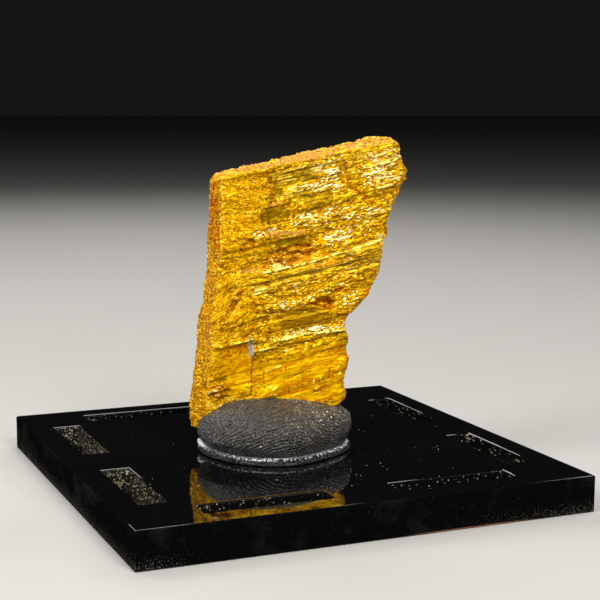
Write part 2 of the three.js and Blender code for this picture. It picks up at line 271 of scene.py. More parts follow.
class Orpiment(Finish):
    """Cleaved orpiment, an arsenic sulphide: resinous to pearly golden yellow, in bent fibres.

    Its index is very high, so a clean cleavage flashes almost like metal, and the eye sees white
    glints over deep yellow. Crushed grains scatter and look matte and tan, and a wall of them has
    a lower index to the eye, because its light comes from inside.
    """

    # Sizes along u, t and f, in mm.
    LATH, FLAKE, SPARK = (2.0, 1.2, 0.38), (0.48, 0.45, 0.22), (0.42, 0.4, 0.17)
    FIBRE, LINE, BAND = (2.0, 0.6, 0.17), (3.5, 0.6, 0.13), (5.0, 3.0, 0.8)
    STAIN, CRUMB = (3.2, 2.4, 1.9), (0.45, 0.45, 0.45)
    SWAY = (0.9, 0.5, 0.24)  # how far the fibres wander
    FIBRE_DEPTH, CRUMB_DEPTH = 0.06, 0.16
    LEAN = 0.26  # how far the tipped flakes lean back
    FRAY, CLEAN_FRAY = 0.7, 0.2  # how ragged a patch's border is

    def __init__(self, name: str, yaw: float, index: float) -> None:
        """Starts the finish and draws its patterns.

        Args:
            name: the material's name.
            yaw: how far the slab is turned on its plate.
            index: the refractive index that shows.
        """
        super().__init__(name)
        self.yaw, self.index = yaw, index
        grain = self.add("Attribute", attribute_name="grain")["Vector"]
        bend = self.add("TexNoise", {"Vector": grain, "Scale": 0.45, "Detail": 3.0})["Color"]
        self.bent = self.add("VectorMath", (bend, self.SWAY, grain), operation="MULTIPLY_ADD")[0]
        self.laths, self.flakes, self.sparks = map(self._cells, (self.LATH, self.FLAKE, self.SPARK))
        self.fibres, self.lines = self._noise(self.FIBRE, 4.0), self._noise(self.LINE, 2.0)
        self.bands, self.stains = self._noise(self.BAND, 2.0), self._noise(self.STAIN, 3.0, 0.8)
        self.crumbs = self._noise(self.CRUMB, 2.0, 1.6)
        self.tone = self.add("SeparateXYZ", (self.laths,))
        self.lot = self.add("SeparateXYZ", (self.flakes,))
        self.share = {surface: self._frayed(surface) for surface in Surface}

    def build(self) -> Material:
        """Makes the material, which reads the slab's grain and surface attributes.

        Returns:
            The finished material.
        """
        return self.close({
            "Base Color": self._colour(), "Roughness": self._roughness(), "Normal": self._normal(),
            "IOR": self.index, "Specular Tint": "#FFCE18"})

    def _cells(self, size: Triple) -> Socket:
        """Parts the surface into flat flakes.

        Args:
            size: a flake's size along u, t and f, in mm.

        Returns:
            A random vector, from -0.5 to 0.5, that is the same all over one flake.
        """
        scaled = self.add("VectorMath", (self.bent, size), operation="DIVIDE")[0]
        lot = self.add("TexVoronoi", {"Vector": scaled, "Scale": 1.0})["Color"]
        return self.add("VectorMath", (lot, (0.5, 0.5, 0.5)), operation="SUBTRACT")[0]

    def _noise(self, size: Triple, detail: float, curl: float = 0.0) -> Socket:
        """Draws a noise stretched to a size.

        Args:
            size: the size of its coarsest marks along u, t and f, in mm.
            detail: how many finer layers it has.
            curl: how much it is stirred.

        Returns:
            A value from 0 to 1.
        """
        scaled = self.add("VectorMath", (self.bent, size), operation="DIVIDE")[0]
        return self.add("TexNoise", {
            "Vector": scaled, "Scale": 1.0, "Detail": detail, "Roughness": 0.65,
            "Distortion": curl})["Fac"]

    def _frayed(self, surface: Surface) -> Socket:
        """Reads how much of a surface a point has, and lets whole flakes decide at its border.

        Args:
            surface: the surface.

        Returns:
            A share from 0 to 1.
        """
        share = self.add("Attribute", attribute_name=surface.value)["Fac"]
        fray = self.CLEAN_FRAY if surface in (Surface.GLASSY, Surface.VEIN) else self.FRAY
        pushed = self.add("Math", (self.lot[2], fray, share), operation="MULTIPLY_ADD")[0]
        kept = self.add("MapRange", (pushed, 0.35, 0.6))[0]
        soft = self.add("MapRange", (share, 0.0, 0.3))[0]
        return self.add("Math", (kept, soft), operation="MULTIPLY")[0]

    def _weighed(self, value: Socket, weights: dict[Surface, float]) -> Socket:
        """Adds the weighed shares of some surfaces to a value.

        Args:
            value: the value to start from.
            weights: how much each surface counts.

        Returns:
            The sum.
        """
        for surface, weight in weights.items():
            value = self.add(
                "Math", (self.share[surface], weight, value), operation="MULTIPLY_ADD")[0]
        return value

    def _colour(self) -> Socket:
        """Works out the body colour, from deep gold between the fibres to painted white glints.

        Returns:
            The base colour.
        """
        share, tone, lot = self.share, self.tone, self.lot
        spark = self.add("SeparateXYZ", (self.sparks,))
        line, band, grit = (self.add("MapRange", row)[0] for row in (
            (self.lines, 0.38, 0.62), (self.bands, 0.35, 0.65), (self.crumbs, 0.42, 0.58)))
        gold = self.paint(
            "#683A00", (self.paint("#BE6C00", ("#DA9A00", band)), self.fibres, 0.4, 0.6),
            ("#6A4400", tone[0], 0.1, 0.5, 0.75), ("#543200", lot[0], 0.15, 0.4, 0.8),
            ("#F4C000", lot[1], 0.2, 0.4, 0.8))
        crumbly = self.paint(
            "#7E4000", ("#E29A00", grit), ("#F8C80C", spark[1], 0.2, 0.4, 0.8),
            ("#6A3400", spark[0], 0.3, 0.4, 0.7))
        satin = self.paint(
            self.paint("#A65A00", ("#D88C00", line)),
            (self.paint("#C68C00", ("#EEBC00", line)), self.stains, 0.42, 0.56),
            ("#8A5400", self.crumbs, 0.58, 0.66, 0.6), ("#F6CC10", self.crumbs, 0.42, 0.36, 0.5))
        glassy = self.paint("#442800", (self.paint("#7E5000", ("#9E7000", band)), line))
        deep = self.paint("#5C2800", ("#DC7C00", grit))
        # Pointiness paints a highlight on sharp edges and shade in the crevices.
        edge_highlight_and_crevice_shade = self.add("NewGeometry")["Pointiness"]
        # Painted glints: random flakes painted pale yellow, and near white where tipped or
        # crumpled.
        painted_glint = self.add("MapRange", (self.bands, 0.3, 0.7, -0.05, 0.05))[0]
        painted_glint = self.add("Math", (painted_glint, spark[2]), operation="ADD")[0]
        painted_glint = self._weighed(painted_glint, {Surface.SATIN: -0.07, Surface.GLASSY: -0.07})
        pearly = self._weighed(painted_glint, {
            Surface.TIPPED: 0.14, Surface.CRUMPLED: 0.06, Surface.SATIN: -0.2,
            Surface.CRUMBLY: -0.04})
        # Painted highlights: long laths in tipped patches, bright fibre lines in lathed patches.
        long = self._weighed(tone[2], {Surface.TIPPED: 0.26})
        painted_lath_glint = self.add("MapRange", (self.lines, 0.58, 0.68, 0.0, 0.9))[0]
        painted_lath_glint = self.add("Math", (painted_lath_glint, share[Surface.LATHED]), operation="MULTIPLY")[0]
        return self.paint(
            gold, (crumbly, share[Surface.CRUMBLY]), (satin, share[Surface.SATIN]),
            (glassy, share[Surface.GLASSY]), (deep, share[Surface.DEEP]),
            # Painted highlight on sharp edges, painted shade in crevices, then the painted glints.
            ("#FFD230", edge_highlight_and_crevice_shade, 0.52, 0.6, 0.6), ("#4E2600", edge_highlight_and_crevice_shade, 0.48, 0.41, 0.85),
            ("#FFDC3C", painted_glint, 0.42, 0.46, 0.85), ("#FFF9D0", pearly, 0.5, 0.54, 0.95),
            ("#FFF8C8", long, 0.66, 0.72, 0.95), ("#FFE868", painted_lath_glint),
            (self.paint("#B0701C", ("#D89C4C", grit)), share[Surface.POWDERY]),
            # The split lips are painted pale, as their highlight.
            ("#FFEC7C", share[Surface.EDGE]),
            (self.paint("#6F6A60", ("#B5AFA3", grit)), share[Surface.VEIN]))

    def _normal(self) -> Socket:
        """Tips each lath and flake its own way, and raises the fibres and the crumbs.

        Returns:
            The shading normal.
        """
        share = self.share
        matte, calm = (
            self.add("MapRange", (share[Surface.SATIN], 0.0, 1.0, *to))[0]
            for to in ((0.0, 0.35), (1.0, 0.2)))
        for surface in (Surface.CRUMBLY, Surface.POWDERY):
            matte = self.add("Math", (matte, share[surface]), operation="MAXIMUM")[0]
        combed = self.add(
            "Math", (share[Surface.CRUMBLY], share[Surface.SATIN]), operation="MAXIMUM")[0]
        combed = self.add("MapRange", (combed, 0.0, 1.0, 1.0, 0.2))[0]
        tips = []
        for cells, tip, surface in ((self.flakes, (0.5, 0.0, 0.85), Surface.CRUMPLED),
                                    (self.laths, (0.25, 0.0, 0.75), Surface.LATHED)):
            lively = self.add("MapRange", (share[surface], 0.0, 1.0, 0.5, 1.0))[0]
            tip = self.add("VectorMath", (cells, tip), operation="MULTIPLY")[0]
            tips.append(self.add("VectorMath", {0: tip, "Scale": lively}, operation="SCALE")[0])
        turned = self.add("VectorMath", tips, operation="ADD")[0]
        turned = self.add("VectorMath", {0: turned, "Scale": calm}, operation="SCALE")[0]
        lean = self.add("Math", (share[Surface.TIPPED], self.LEAN), operation="MULTIPLY")[0]
        lean = self.add("CombineXYZ", {2: lean})[0]
        turned = self.add("VectorMath", (turned, lean), operation="ADD")[0]
        turned = self.add("Mapping", {"Vector": turned, "Rotation": (0.0, 0.0, self.yaw)},
                          vector_type="VECTOR")[0]
        face = self.add("NewGeometry")["Normal"]
        normal = self.add("VectorMath", (face, turned), operation="ADD")[0]
        normal = self.add("VectorMath", (normal,), operation="NORMALIZE")[0]
        for height, strength, depth in ((self.fibres, combed, self.FIBRE_DEPTH),
                                        (self.crumbs, matte, self.CRUMB_DEPTH)):
            normal = self.add("Bump", {
                "Height": height, "Strength": strength, "Distance": depth * MM,
                "Normal": normal})[0]
        return normal

    def _roughness(self) -> Socket:
        """Works out the roughness, which differs from lath to lath.

        Returns:
            The roughness.
        """
        rough = self.add("MapRange", (self.tone[1], -0.5, 0.5, 0.14, 0.38))[0]
        for surface, value in (
                (Surface.SATIN, 0.42), (Surface.CRUMBLY, 0.34), (Surface.CRUMPLED, 0.18),
                (Surface.GLASSY, 0.3), (Surface.TIPPED, 0.2), (Surface.POWDERY, 0.85),
                (Surface.VEIN, 0.6)):
            mixed = {0: self.share[surface], 2: rough, 3: value}
            rough = self.add("Mix", mixed, data_type="FLOAT")[0]
        return rough


class PressedPutty(Finish):
    """Black mounting putty, pressed by fingers: satin, close pored, shiny where it was smeared."""

    # Sizes, depths and heights over the plate's foot, in mm.
    PORE, PEBBLE, TOOTH, LUMP, BLOT = 0.38, 0.52, 0.42, 1 / 0.9, 4.0
    LUMP_DEPTH, PORE_DEPTH, CREASE_DEPTH, RIDGE_DEPTH = 0.25, 0.26, 0.1, 0.16
    # Heights where the rim's painted highlight begins, and where the lifted lip is painted fully
    # pale.
    FILM_HEIGHT, LIP_HEIGHT = (6.82, 6.94), (7.1, 7.35)
    SMEARED_ROUGHNESS = 0.16

    def build(self) -> Material:
        """Draws the pores, the creases and the finger ridges.

        Returns:
            The finished material. It reads the lump's "smear", "loop" and "printed" attributes.
        """
        spot = self.add("TexCoord")["Object"]
        smear, loop, printed = (
            self.add("Attribute", attribute_name=name)["Fac"]
            for name in ("smear", "loop", "printed"))
        pores, lumps, blots = (
            self.add("TexNoise", {"Vector": spot, "Scale": 1 / (size * MM), **more})["Fac"]
            for size, more in (
                (self.PORE, {"Detail": 3.0, "Roughness": 0.6}), (self.LUMP, {"Detail": 2.0}),
                (self.BLOT, {"Detail": 3.0})))
        wave = self.add("Math", (loop,), operation="SINE")[0]
        broken = self.add("MapRange", (pores, 0.44, 0.58, 0.1, 1.0))[0]
        for share in (printed, broken):
            wave = self.add("Math", (wave, share), operation="MULTIPLY")[0]
        creases = self.add(
            "TexVoronoi", {"Vector": spot, "Scale": 1 / (self.PEBBLE * MM)},
            feature="DISTANCE_TO_EDGE")["Distance"]
        creases = self.add("MapRange", (creases, 0.0, 0.2))[0]
        rough = self.add("MapRange", (blots, 0.3, 0.7, 0.23, 0.33))[0]
        rough = {0: smear, 2: rough, 3: self.SMEARED_ROUGHNESS}
        rough = self.add("Mix", rough, data_type="FLOAT")[0]
        bump = {}
        for height, depth in ((lumps, self.LUMP_DEPTH), (pores, self.PORE_DEPTH),
                              (creases, self.CREASE_DEPTH), (wave, self.RIDGE_DEPTH)):
            bump = {"Normal": self.add("Bump", {
                "Height": height, "Strength": 1.0, "Distance": depth * MM, **bump})[0]}
        # The skin carries painted shade, and the rolled rim a painted highlight.
        colour = self.paint(self._skin(wave, creases, blots), (self._rim_with_painted_highlight(spot, blots), smear))
        return self.close({"Base Color": colour, "Roughness": rough, "IOR": 1.55, **bump})

    def _skin(self, wave: Socket, creases: Socket, blots: Socket) -> Socket:
        """Works out the skin's colour, with painted shade in its grooves and creases.

        Args:
            wave: the finger ridges.
            creases: 0 in the creases.
            blots: broad blots.

        Returns:
            The colour.
        """
        # The grooves between the ridges and the creases are painted near black as their shade.
        crest = self.add("MapRange", (wave, -0.6, 0.7, 0.0, 1.0))[0]
        crease_shade = self.add("MapRange", (creases, 0.0, 1.0, 0.15, 1.0))[0]
        crest = self.add("Math", (crest, crease_shade), operation="MULTIPLY")[0]
        return self.paint("#060606", (self.paint("#56524E", ("#8A857E", blots)), crest))

    def _rim_with_painted_highlight(self, spot: Socket, blots: Socket) -> Socket:
        """Works out the rolled rim's colour, with its highlight painted as pale broken teeth.

        Args:
            spot: the Object coordinates.
            blots: broad blots.

        Returns:
            The rim's colour.
        """
        upright = self.add("Mapping", {"Vector": spot, "Scale": (1.0, 1.0, 0.3)})[0]
        teeth = self.add("TexNoise", {
            "Vector": upright, "Scale": 1 / (self.TOOTH * MM), "Detail": 1.0})["Fac"]
        teeth = self.add("MapRange", (teeth, 0.48, 0.57))[0]
        # The painted highlight fades in broad blots.
        wear_and_highlight_fade = self.add("MapRange", (blots, 0.4, 0.55, 0.35, 1.0))[0]
        teeth = self.add("Math", (teeth, wear_and_highlight_fade), operation="MULTIPLY")[0]
        height = self.add("SeparateXYZ", (spot,))[2]
        high, lip = (
            self.add("MapRange", (height, low * MM, top * MM))[0]
            for low, top in (self.FILM_HEIGHT, self.LIP_HEIGHT))
        # The lifted lip at the left end is painted pale all over, as its highlight.
        teeth = self.add("Math", (teeth, lip), operation="MAXIMUM")[0]
        return self.paint("#1B1B1A", (self.paint("#0C0C0C", ("#F0EEEA", teeth)), high))


class PolishedAcrylic(Finish):
    """Black cast acrylic, polished: a deep mirror with faint smudges and a little dust."""

    SMUDGE, DUST_SPACING = 1 / 0.06, 3.5  # mm

    def build(self) -> Material:
        """Draws the smudges and the motes.

        Returns:
            The finished material, on Object coordinates.
        """
        spot = self.add("TexCoord")["Object"]
        smudge = self.add("TexNoise", {
            "Vector": spot, "Scale": 1 / (self.SMUDGE * MM), "Detail": 4.0,
            "Roughness": 0.65})["Fac"]
        motes = self.add("TexVoronoi", {"Vector": spot, "Scale": 1 / (self.DUST_SPACING * MM)})
        size = self.add("SeparateColor", (motes["Color"],))[0]
        reach = self.add("MapRange", (size, 0.4, 1.0, 0.0, 0.035))[0]
        dust = self.add("Math", (motes["Distance"], reach), operation="LESS_THAN")[0]
        rough = self.add("MapRange", (smudge, 0.45, 0.75, 0.03, 0.06))[0]
        rough = self.add("Mix", {0: dust, 2: rough, 3: 0.8}, data_type="FLOAT")[0]
        colour = self.paint("#050506", ("#8F8470", dust))
        return self.close({"Base Color": colour, "Roughness": rough, "IOR": 1.49})


class SawnAcrylic(Finish):
    """The same acrylic as a cutter left it in the slots: dull, and speckled with golden dust.

    Dust lies thickest low in the slots and on the plate's left, where the walls are also lighter.
    """

    GRIT, GRIT_DEPTH = 0.22, 0.05  # mm
    DRAWN_OUT = 0.38  # the cutter drags the grains along the slots at the sides
    LEFT_SIDE = (-31.0, -22.0)  # where the lighter, dustier walls on the left begin and end
    FILL = 6.0  # how high the dust reaches

    def build(self) -> Material:
        """Draws the cutter's grain and the dust.

        Returns:
            The finished material, on Object coordinates.
        """
        spot = self.add("TexCoord")["Object"]
        saw = self.add("TexNoise", {
            "Vector": spot, "Scale": 1 / (self.GRIT * MM), "Detail": 2.0, "Roughness": 0.7})["Fac"]
        drawn = self.add("Mapping", {"Vector": spot, "Scale": (1.0, self.DRAWN_OUT, 1.0)})[0]
        grains = self.add("TexVoronoi", {"Vector": drawn, "Scale": 1 / (self.GRIT * MM)})["Color"]
        lot = self.add("SeparateColor", (grains,))
        x, _, z = self.add("SeparateXYZ", (spot,))
        low, high = (end * MM for end in self.LEFT_SIDE)
        left_side = self.add("MapRange", (x, low, high, 0.2, 0.0))[0]
        sunk = self.add("MapRange", (z, 0.0, self.FILL * MM, 0.05, 0.0))[0]
        more = self.add("Math", (left_side, sunk), operation="ADD")[0]
        more = self.add("Math", (lot[0], more), operation="ADD")[0]
        golden = self.paint("#2A2620", ("#A3987C", lot[1]))
        # Towards the plate's left the walls turn lighter and carry more grains.
        colour = self.paint("#050505", ("#3A362F", left_side), (golden, more, 0.94, 0.98))
        bump = {"Height": saw, "Strength": 0.6, "Distance": self.GRIT_DEPTH * MM}
        bump = self.add("Bump", bump)[0]
        return self.close({"Base Color": colour, "Roughness": 0.45, "Normal": bump, "IOR": 1.2})


class ScrapedAcrylic(Finish):
    """The plate's outer edges: scraped flat and rubbed down, so darker and duller than its top.

    Dust and small chips gather low at both ends, and a brown line of wear runs along the bottom.
    """

    RUB, SCRATCH = 1 / 0.12, 0.25  # mm
    WORN = ((4.0, 10.0), (27.0, 22.0))  # where the line starts and is full, from each side
    WORN_HEIGHT, CHIP_HEIGHT = 0.3, 3.0
    CHIPPED = ((6, 34, 0.18), (-28, -34, 0.17))  # from, to, and how many more chips

    def build(self) -> Material:
        """Draws the smudges, the chips and the line of wear.

        Returns:
            The finished material, on Object coordinates.
        """
        spot = self.add("TexCoord")["Object"]
        rub = self.add("TexNoise", {
            "Vector": spot, "Scale": 1 / (self.RUB * MM), "Detail": 4.0, "Roughness": 0.7})["Fac"]
        chips = self.add("TexNoise", {
            "Vector": spot, "Scale": 1 / (self.SCRATCH * MM), "Detail": 2.0})["Fac"]
        x, _, z = self.add("SeparateXYZ", (spot,))
        low = self.add("MapRange", (z, 0.0, self.CHIP_HEIGHT * MM, 1.0, 0.0))[0]
        for start, end, more in self.CHIPPED:
            side = self.add("MapRange", (x, start * MM, end * MM, 0.0, more))[0]
            chips = self.add("Math", (low, side, chips), operation="MULTIPLY_ADD")[0]
        wear_and_highlight_fade = self.add("Math", (z, self.WORN_HEIGHT * MM), operation="LESS_THAN")[0]
        for start, end in self.WORN:
            side = self.add("MapRange", (x, start * MM, end * MM))[0]
            wear_and_highlight_fade = self.add("Math", (wear_and_highlight_fade, side), operation="MULTIPLY")[0]
        colour = self.paint(
            "#070707", ("#1E1E1D", rub, 0.5, 0.8), ("#5A554C", chips, 0.69, 0.74, 0.8),
            ("#8A5A38", wear_and_highlight_fade))
        rough = self.add("MapRange", (rub, 0.3, 0.7, 0.2, 0.34))[0]
        return self.close({
            "Base Color": colour, "Roughness": rough, "IOR": 1.49, "Specular IOR Level": 0.0})


class OrpimentDust(Finish):
    """Crushed orpiment: each grain a tiny flake, some dull and tan, some catching the light."""

    SPACING = 1 / 1.7  # mm

    def build(self) -> Material:
        """Gives each grain its own tone.

        Returns:
            The finished material, on Object coordinates.
        """
        spot = self.add("TexCoord")["Object"]
        lot = self.add("TexNoise", {
            "Vector": spot, "Scale": 1 / (self.SPACING * MM), "Detail": 0.0})["Fac"]
        colour = self.paint("#7A6434", ("#FFE58A", lot, 0.35, 0.65))
        return self.close({"Base Color": colour, "Roughness": 0.3, "IOR": 2.4})


class StudioPaper(Finish):
    """Seamless pale paper, matte."""

    def build(self) -> Material:
        """Returns the floor's plain material."""
        return self.close({"Base Color": "#A8A5A0", "Roughness": 0.85})


# ---- The slab ----


@dataclass(frozen=True)
class Oval:
    """An ellipse on a face, in mm of u and f, turned away from the u direction."""

    u: float
    f: float
    reach_u: float
    reach_f: float
    turn: float

    def place(self, u: float, f: float) -> Pair:
        """Finds where a point lies in the ellipse's own directions.

        Args:
            u: the point's place along the face.
            f: its height.

        Returns:
            Its distance from the middle each way, as a share of the reach.
        """
        du, df = u - self.u, f - self.f
        cos, sin = math.cos(self.turn), math.sin(self.turn)
        return (du * cos + df * sin) / self.reach_u, (df * cos - du * sin) / self.reach_f


@dataclass(frozen=True)
class Patch(Oval):
    """A patch of one surface."""

    amount: float
    edge: float = 0.45  # how softly it ends, as a share of its reach

    FADED = 2  # reaches out from the middle

    def near(self, u: float, f: float, margin: float) -> bool:
        """Returns whether the patch can show within a margin of a point, in mm."""
        reach = 1.7 * math.hypot(self.reach_u, self.reach_f) + margin
        return math.hypot(u - self.u, f - self.f) < reach

    def share(self, u: float, f: float, stir: float) -> float:
        """Works out how strongly the patch shows at a point.

        Args:
            u: the point's place along the face.
            f: its height.
            stir: a small random number that frays the patch's edge.

        Returns:
            A share from 0 to the patch's amount.
        """
        x, y = self.place(u, f)
        if abs(x) > self.FADED or abs(y) > self.FADED:
            return 0.0
        distance = (x ** 4 + y ** 4) ** 0.25 + stir
        return self.amount * (1 - smoothstep(1 - self.edge, 1 + self.edge, distance))


@dataclass(frozen=True)
class Pit(Oval):
    """A pit or chip: a ragged ellipse with steep sides and an uneven floor."""

    depth: float

    FADED = 1.6  # reaches out from the middle

    def height(self, u: float, f: float) -> float:
        """Works out how far the pit lowers the face at a point.

        Args:
            u: the point's place along the face.
            f: its height.

        Returns:
            A height in mm, 0 or negative.
        """
        x, y = self.place(u, f)
        if abs(x) > self.FADED or abs(y) > self.FADED:
            return 0.0
        ragged = 0.3 * waver(1.1 * u, 2.0 * f, self.depth)
        inside = 1 - smoothstep(0.6, 1.1, (abs(x) ** 3 + abs(y) ** 3) ** (1 / 3) + ragged)
        floor = 0.7 + 0.6 * noise.cell(Vector((0.6 * u + 0.4 * f, 1.5 * f, self.depth)))
        return -self.depth * inside * floor


@dataclass(frozen=True)
class Panel:
    """A cleavage panel that stands proud of its face or lies behind it, in mm of u and f."""

    left: float
    right: float
    low: float
    high: float
    rise: float
    start: float = 0.4  # how softly its left side begins

    END, STEP = 0.4, 0.12  # how softly its right side ends, and its foot and top

    def height(self, u: float, f: float) -> float:
        """Works out how far the panel lifts the face at a point.

        Args:
            u: the point's place along the face.
            f: its height.

        Returns:
            A height in mm.
        """
        begins = smoothstep(self.left - self.start, self.left + self.start, u)
        ends = smoothstep(self.right - self.END, self.right + self.END, u)
        over = smoothstep(self.low - self.STEP, self.low + self.STEP, f)
        past = smoothstep(self.high - self.STEP, self.high + self.STEP, f)
        return self.rise * (begins - ends) * (over - past)


@dataclass(frozen=True)
class Crack:
    """A crack or a lip across the fibres, in straight runs through its points."""

    width: float
    depth: float
    points: Outline

    def distance(self, u: float, f: float) -> float:
        """Measures how far a point is from the crack.

        Args:
            u: the point's place along the face.
            f: its height.

        Returns:
            The distance, in mm.
        """
        best = math.inf
        for (u0, f0), (u1, f1) in zip(self.points, self.points[1:]):
            run_u, run_f = u1 - u0, f1 - f0
            share = clamp(((u - u0) * run_u + (f - f0) * run_f) / (run_u ** 2 + run_f ** 2))
            best = min(best, math.hypot(u - u0 - share * run_u, f - f0 - share * run_f))
        return best


@dataclass(frozen=True)
class Bend:
    """A place where the fibres turn from their usual run, to a slope."""

    u: float
    f: float
    reach_u: float
    reach_f: float
    slope: float

    def shift(self, u: float, f: float) -> float:
        """Returns how far the fibres are moved across their run at a point, in mm."""
        du, df = u - self.u, f - self.f
        return -self.slope * du * math.exp(-((du / self.reach_u) ** 2) - (df / self.reach_f) ** 2)


class Face:
    """One broad face of the slab: its features, and the relief and the surfaces they make."""

    CELL = 2.0  # mm, for finding what is near
    STIR = ((0.35, 0.5, 1.4, 40), (0.25, 1.9, 4.0, 41))
    RIDGES = ((0.22, 0.1, 0.62, 5), (0.16, 0.43, 0.47, 9))
    STEP = 0.3  # mm
    LATH_WIDTH, LATH_LENGTH = 0.7, 8.0
    FACETS = ((1.6, 0.7, 0.4), (0.8, 0.42, 0.2))  # the size along u and f, and the tip
    TRACE = 0.01  # the least share that is worth working out

    def __init__(
        self, seed: float, panels: Sequence[Row], pits: Sequence[Row], cracks: Sequence[tuple],
        lips: Sequence[tuple], bends: Sequence[Row], patches: dict[Surface, Sequence[Row]],
    ) -> None:
        """Reads the face's features from tables, in mm of u and f.

        Args:
            seed: sets the face's own noise.
            panels: the fields of each panel.
            pits: the fields of each pit or chip.
            cracks: the width, the depth and then the points of each crack.
            lips: the same for the split edges that stand up, painted pale as their highlight.
            bends: the fields of each bend of the fibres.
            patches: the fields of each patch, by surface.
        """
        self.seed = seed
        self.panels = [Panel(*row) for row in panels]
        self.pits = [Pit(*row) for row in pits]
        self.cracks, self.lips = (
            [Crack(width, depth, tuple(points)) for width, depth, *points in rows]
            for rows in (cracks, lips))
        self.bends = [Bend(*row) for row in bends]
        self.patches = [(kind, Patch(*row)) for kind, rows in patches.items() for row in rows]
        self._cells: dict[tuple[int, ...], tuple[list, list[Crack], list[Crack]]] = {}

    def _nearby(self, u: float, f: float) -> tuple[list, list[Crack], list[Crack]]:
        """Finds the features that can matter at a point.

        Args:
            u: the point's place along the face.
            f: its height.

        Returns:
            The patches with their surfaces, the cracks and the lips near it.
        """
        key = (math.floor(u / self.CELL), math.floor(f / self.CELL))
        if key not in self._cells:
            middle = [(k + 0.5) * self.CELL for k in key]
            self._cells[key] = (
                [row for row in self.patches if row[1].near(*middle, self.CELL)],
                *([c for c in rows if c.distance(*middle) < self.CELL + 3 * c.width]
                  for rows in (self.cracks, self.lips)))
        return self._cells[key]

    def grain(self, u: float, f: float) -> float:
        """Returns the height that a fibre at a point would have if it ran straight."""
        return f + sum(bend.shift(u, f) for bend in self.bends)

    def shares(self, u: float, f: float) -> dict[Surface, float]:
        """Works out what the face is made of at a point.

        Args:
            u: the point's place along the face.
            f: its height.

        Returns:
            A share from 0 to 1 for each surface.
        """
        stir = ripples(u, f, self.seed, self.STIR)
        found = dict.fromkeys(Surface, 0.0)
        patches, cracks, lips = self._nearby(u, f)
        for surface, patch in patches:
            found[surface] = max(found[surface], patch.share(u, f, stir))
        for crack in cracks:
            open_share = bell(crack.distance(u, f) + 0.3 * stir, 0.8 * crack.width)
            found[Surface.DEEP] = max(found[Surface.DEEP], open_share)
        for lip in lips:
            broken = clamp(0.6 + 2.4 * waver(1.3 * u, 0.8 * f, self.seed + 42))
            share = broken * bell(lip.distance(u, f) + 0.25 * stir, 0.8 * lip.width)
            found[Surface.EDGE] = max(found[Surface.EDGE], share)
        return found

    def relief(self, u: float, f: float, shares: dict[Surface, float]) -> float:
        """Works out how far the face stands proud of its plane.

        Args:
            u: the point's place along the face.
            f: its height.
            shares: what the face is made of there.

        Returns:
            A height in mm, positive outwards.
        """
        satin, crumbly = shares[Surface.SATIN], shares[Surface.CRUMBLY]
        smooth = max(satin, shares[Surface.GLASSY])
        _, cracks, lips = self._nearby(u, f)
        height = (1 - 0.7 * smooth) * self._fibres(u, f)
        height += sum(lip.depth * bell(lip.distance(u, f), lip.width) for lip in lips)
        height += sum(panel.height(u, f) for panel in self.panels)
        height += sum(pit.height(u, f) for pit in self.pits)
        for crack in cracks:
            height -= crack.depth * bell(crack.distance(u, f), crack.width * 0.7)
        f = self.grain(u, f)
        calm = 1 - 0.85 * max(smooth, crumbly)
        height += calm * mix(0.5, 1.0, shares[Surface.LATHED]) * self._laths(u, f)
        height += mix(0.3 * calm, 1.0, shares[Surface.CRUMPLED]) * self._foil(u, f)
        if crumbly > self.TRACE:
            height += crumbly * self._crumbs(u, f)
        if satin > self.TRACE:
            height += 0.03 * satin * waver(0.5 * u, 3.2 * f, self.seed + 15)
        return height

    def _fibres(self, u: float, f: float) -> float:
        """Returns the low steps and ridges that run along the whole face."""
        steps = self.STEP * round(1.7 * waver(0.08 * u, 0.3 * f, self.seed))
        return steps + ripples(u, f, self.seed, self.RIDGES)

    def _laths(self, u: float, f: float) -> float:
        """Works out the relief of straight laths, each tipped a little its own way.

        Args:
            u: the point's place along the face.
            f: its height, along the grain.

        Returns:
            A height in mm.
        """
        row = f / self.LATH_WIDTH + 0.5 * waver(0.1 * u, 0.4 * f, self.seed + 11)
        number = math.floor(row)
        stretch = u / self.LATH_LENGTH + 3.7 * math.sin(12.9 * number + self.seed)
        lot = noise.cell_vector(Vector((number + 0.5, math.floor(stretch) + 0.5, self.seed)))
        return 0.2 * (lot.x - 0.5) + 0.36 * (lot.y - 0.5) * (row - number - 0.5)

    def _foil(self, u: float, f: float) -> float:
        """Works out the relief of a face that is crumpled into small flat facets.

        Args:
            u: the point's place along the face.
            f: its height, along the grain.

        Returns:
            A height in mm.
        """
        height = 0.0
        sway = 0.5 * waver(0.8 * u, 0.8 * f, self.seed + 22)
        for count, (size_u, size_f, tip) in enumerate(self.FACETS):
            spot = Vector((u / size_u, f / size_f, self.seed + 20 + count))
            spot.x += sway
            nearest = noise.voronoi(spot)[1][0]
            lot = noise.cell_vector(nearest * 7.3)
            side, over = spot.x - nearest.x, spot.y - nearest.y
            height += tip * ((lot.x - 0.5) * side + 1.6 * (lot.y - 0.5) * over)
            height += 0.35 * tip * (lot.z - 0.5)
        return height

    def _crumbs(self, u: float, f: float) -> float:
        """Returns the relief of a grainy face."""
        return 0.14 * noise.fractal(Vector((0.9 * u, 1.1 * f, self.seed + 30)), 0.9, 2.1, 4)


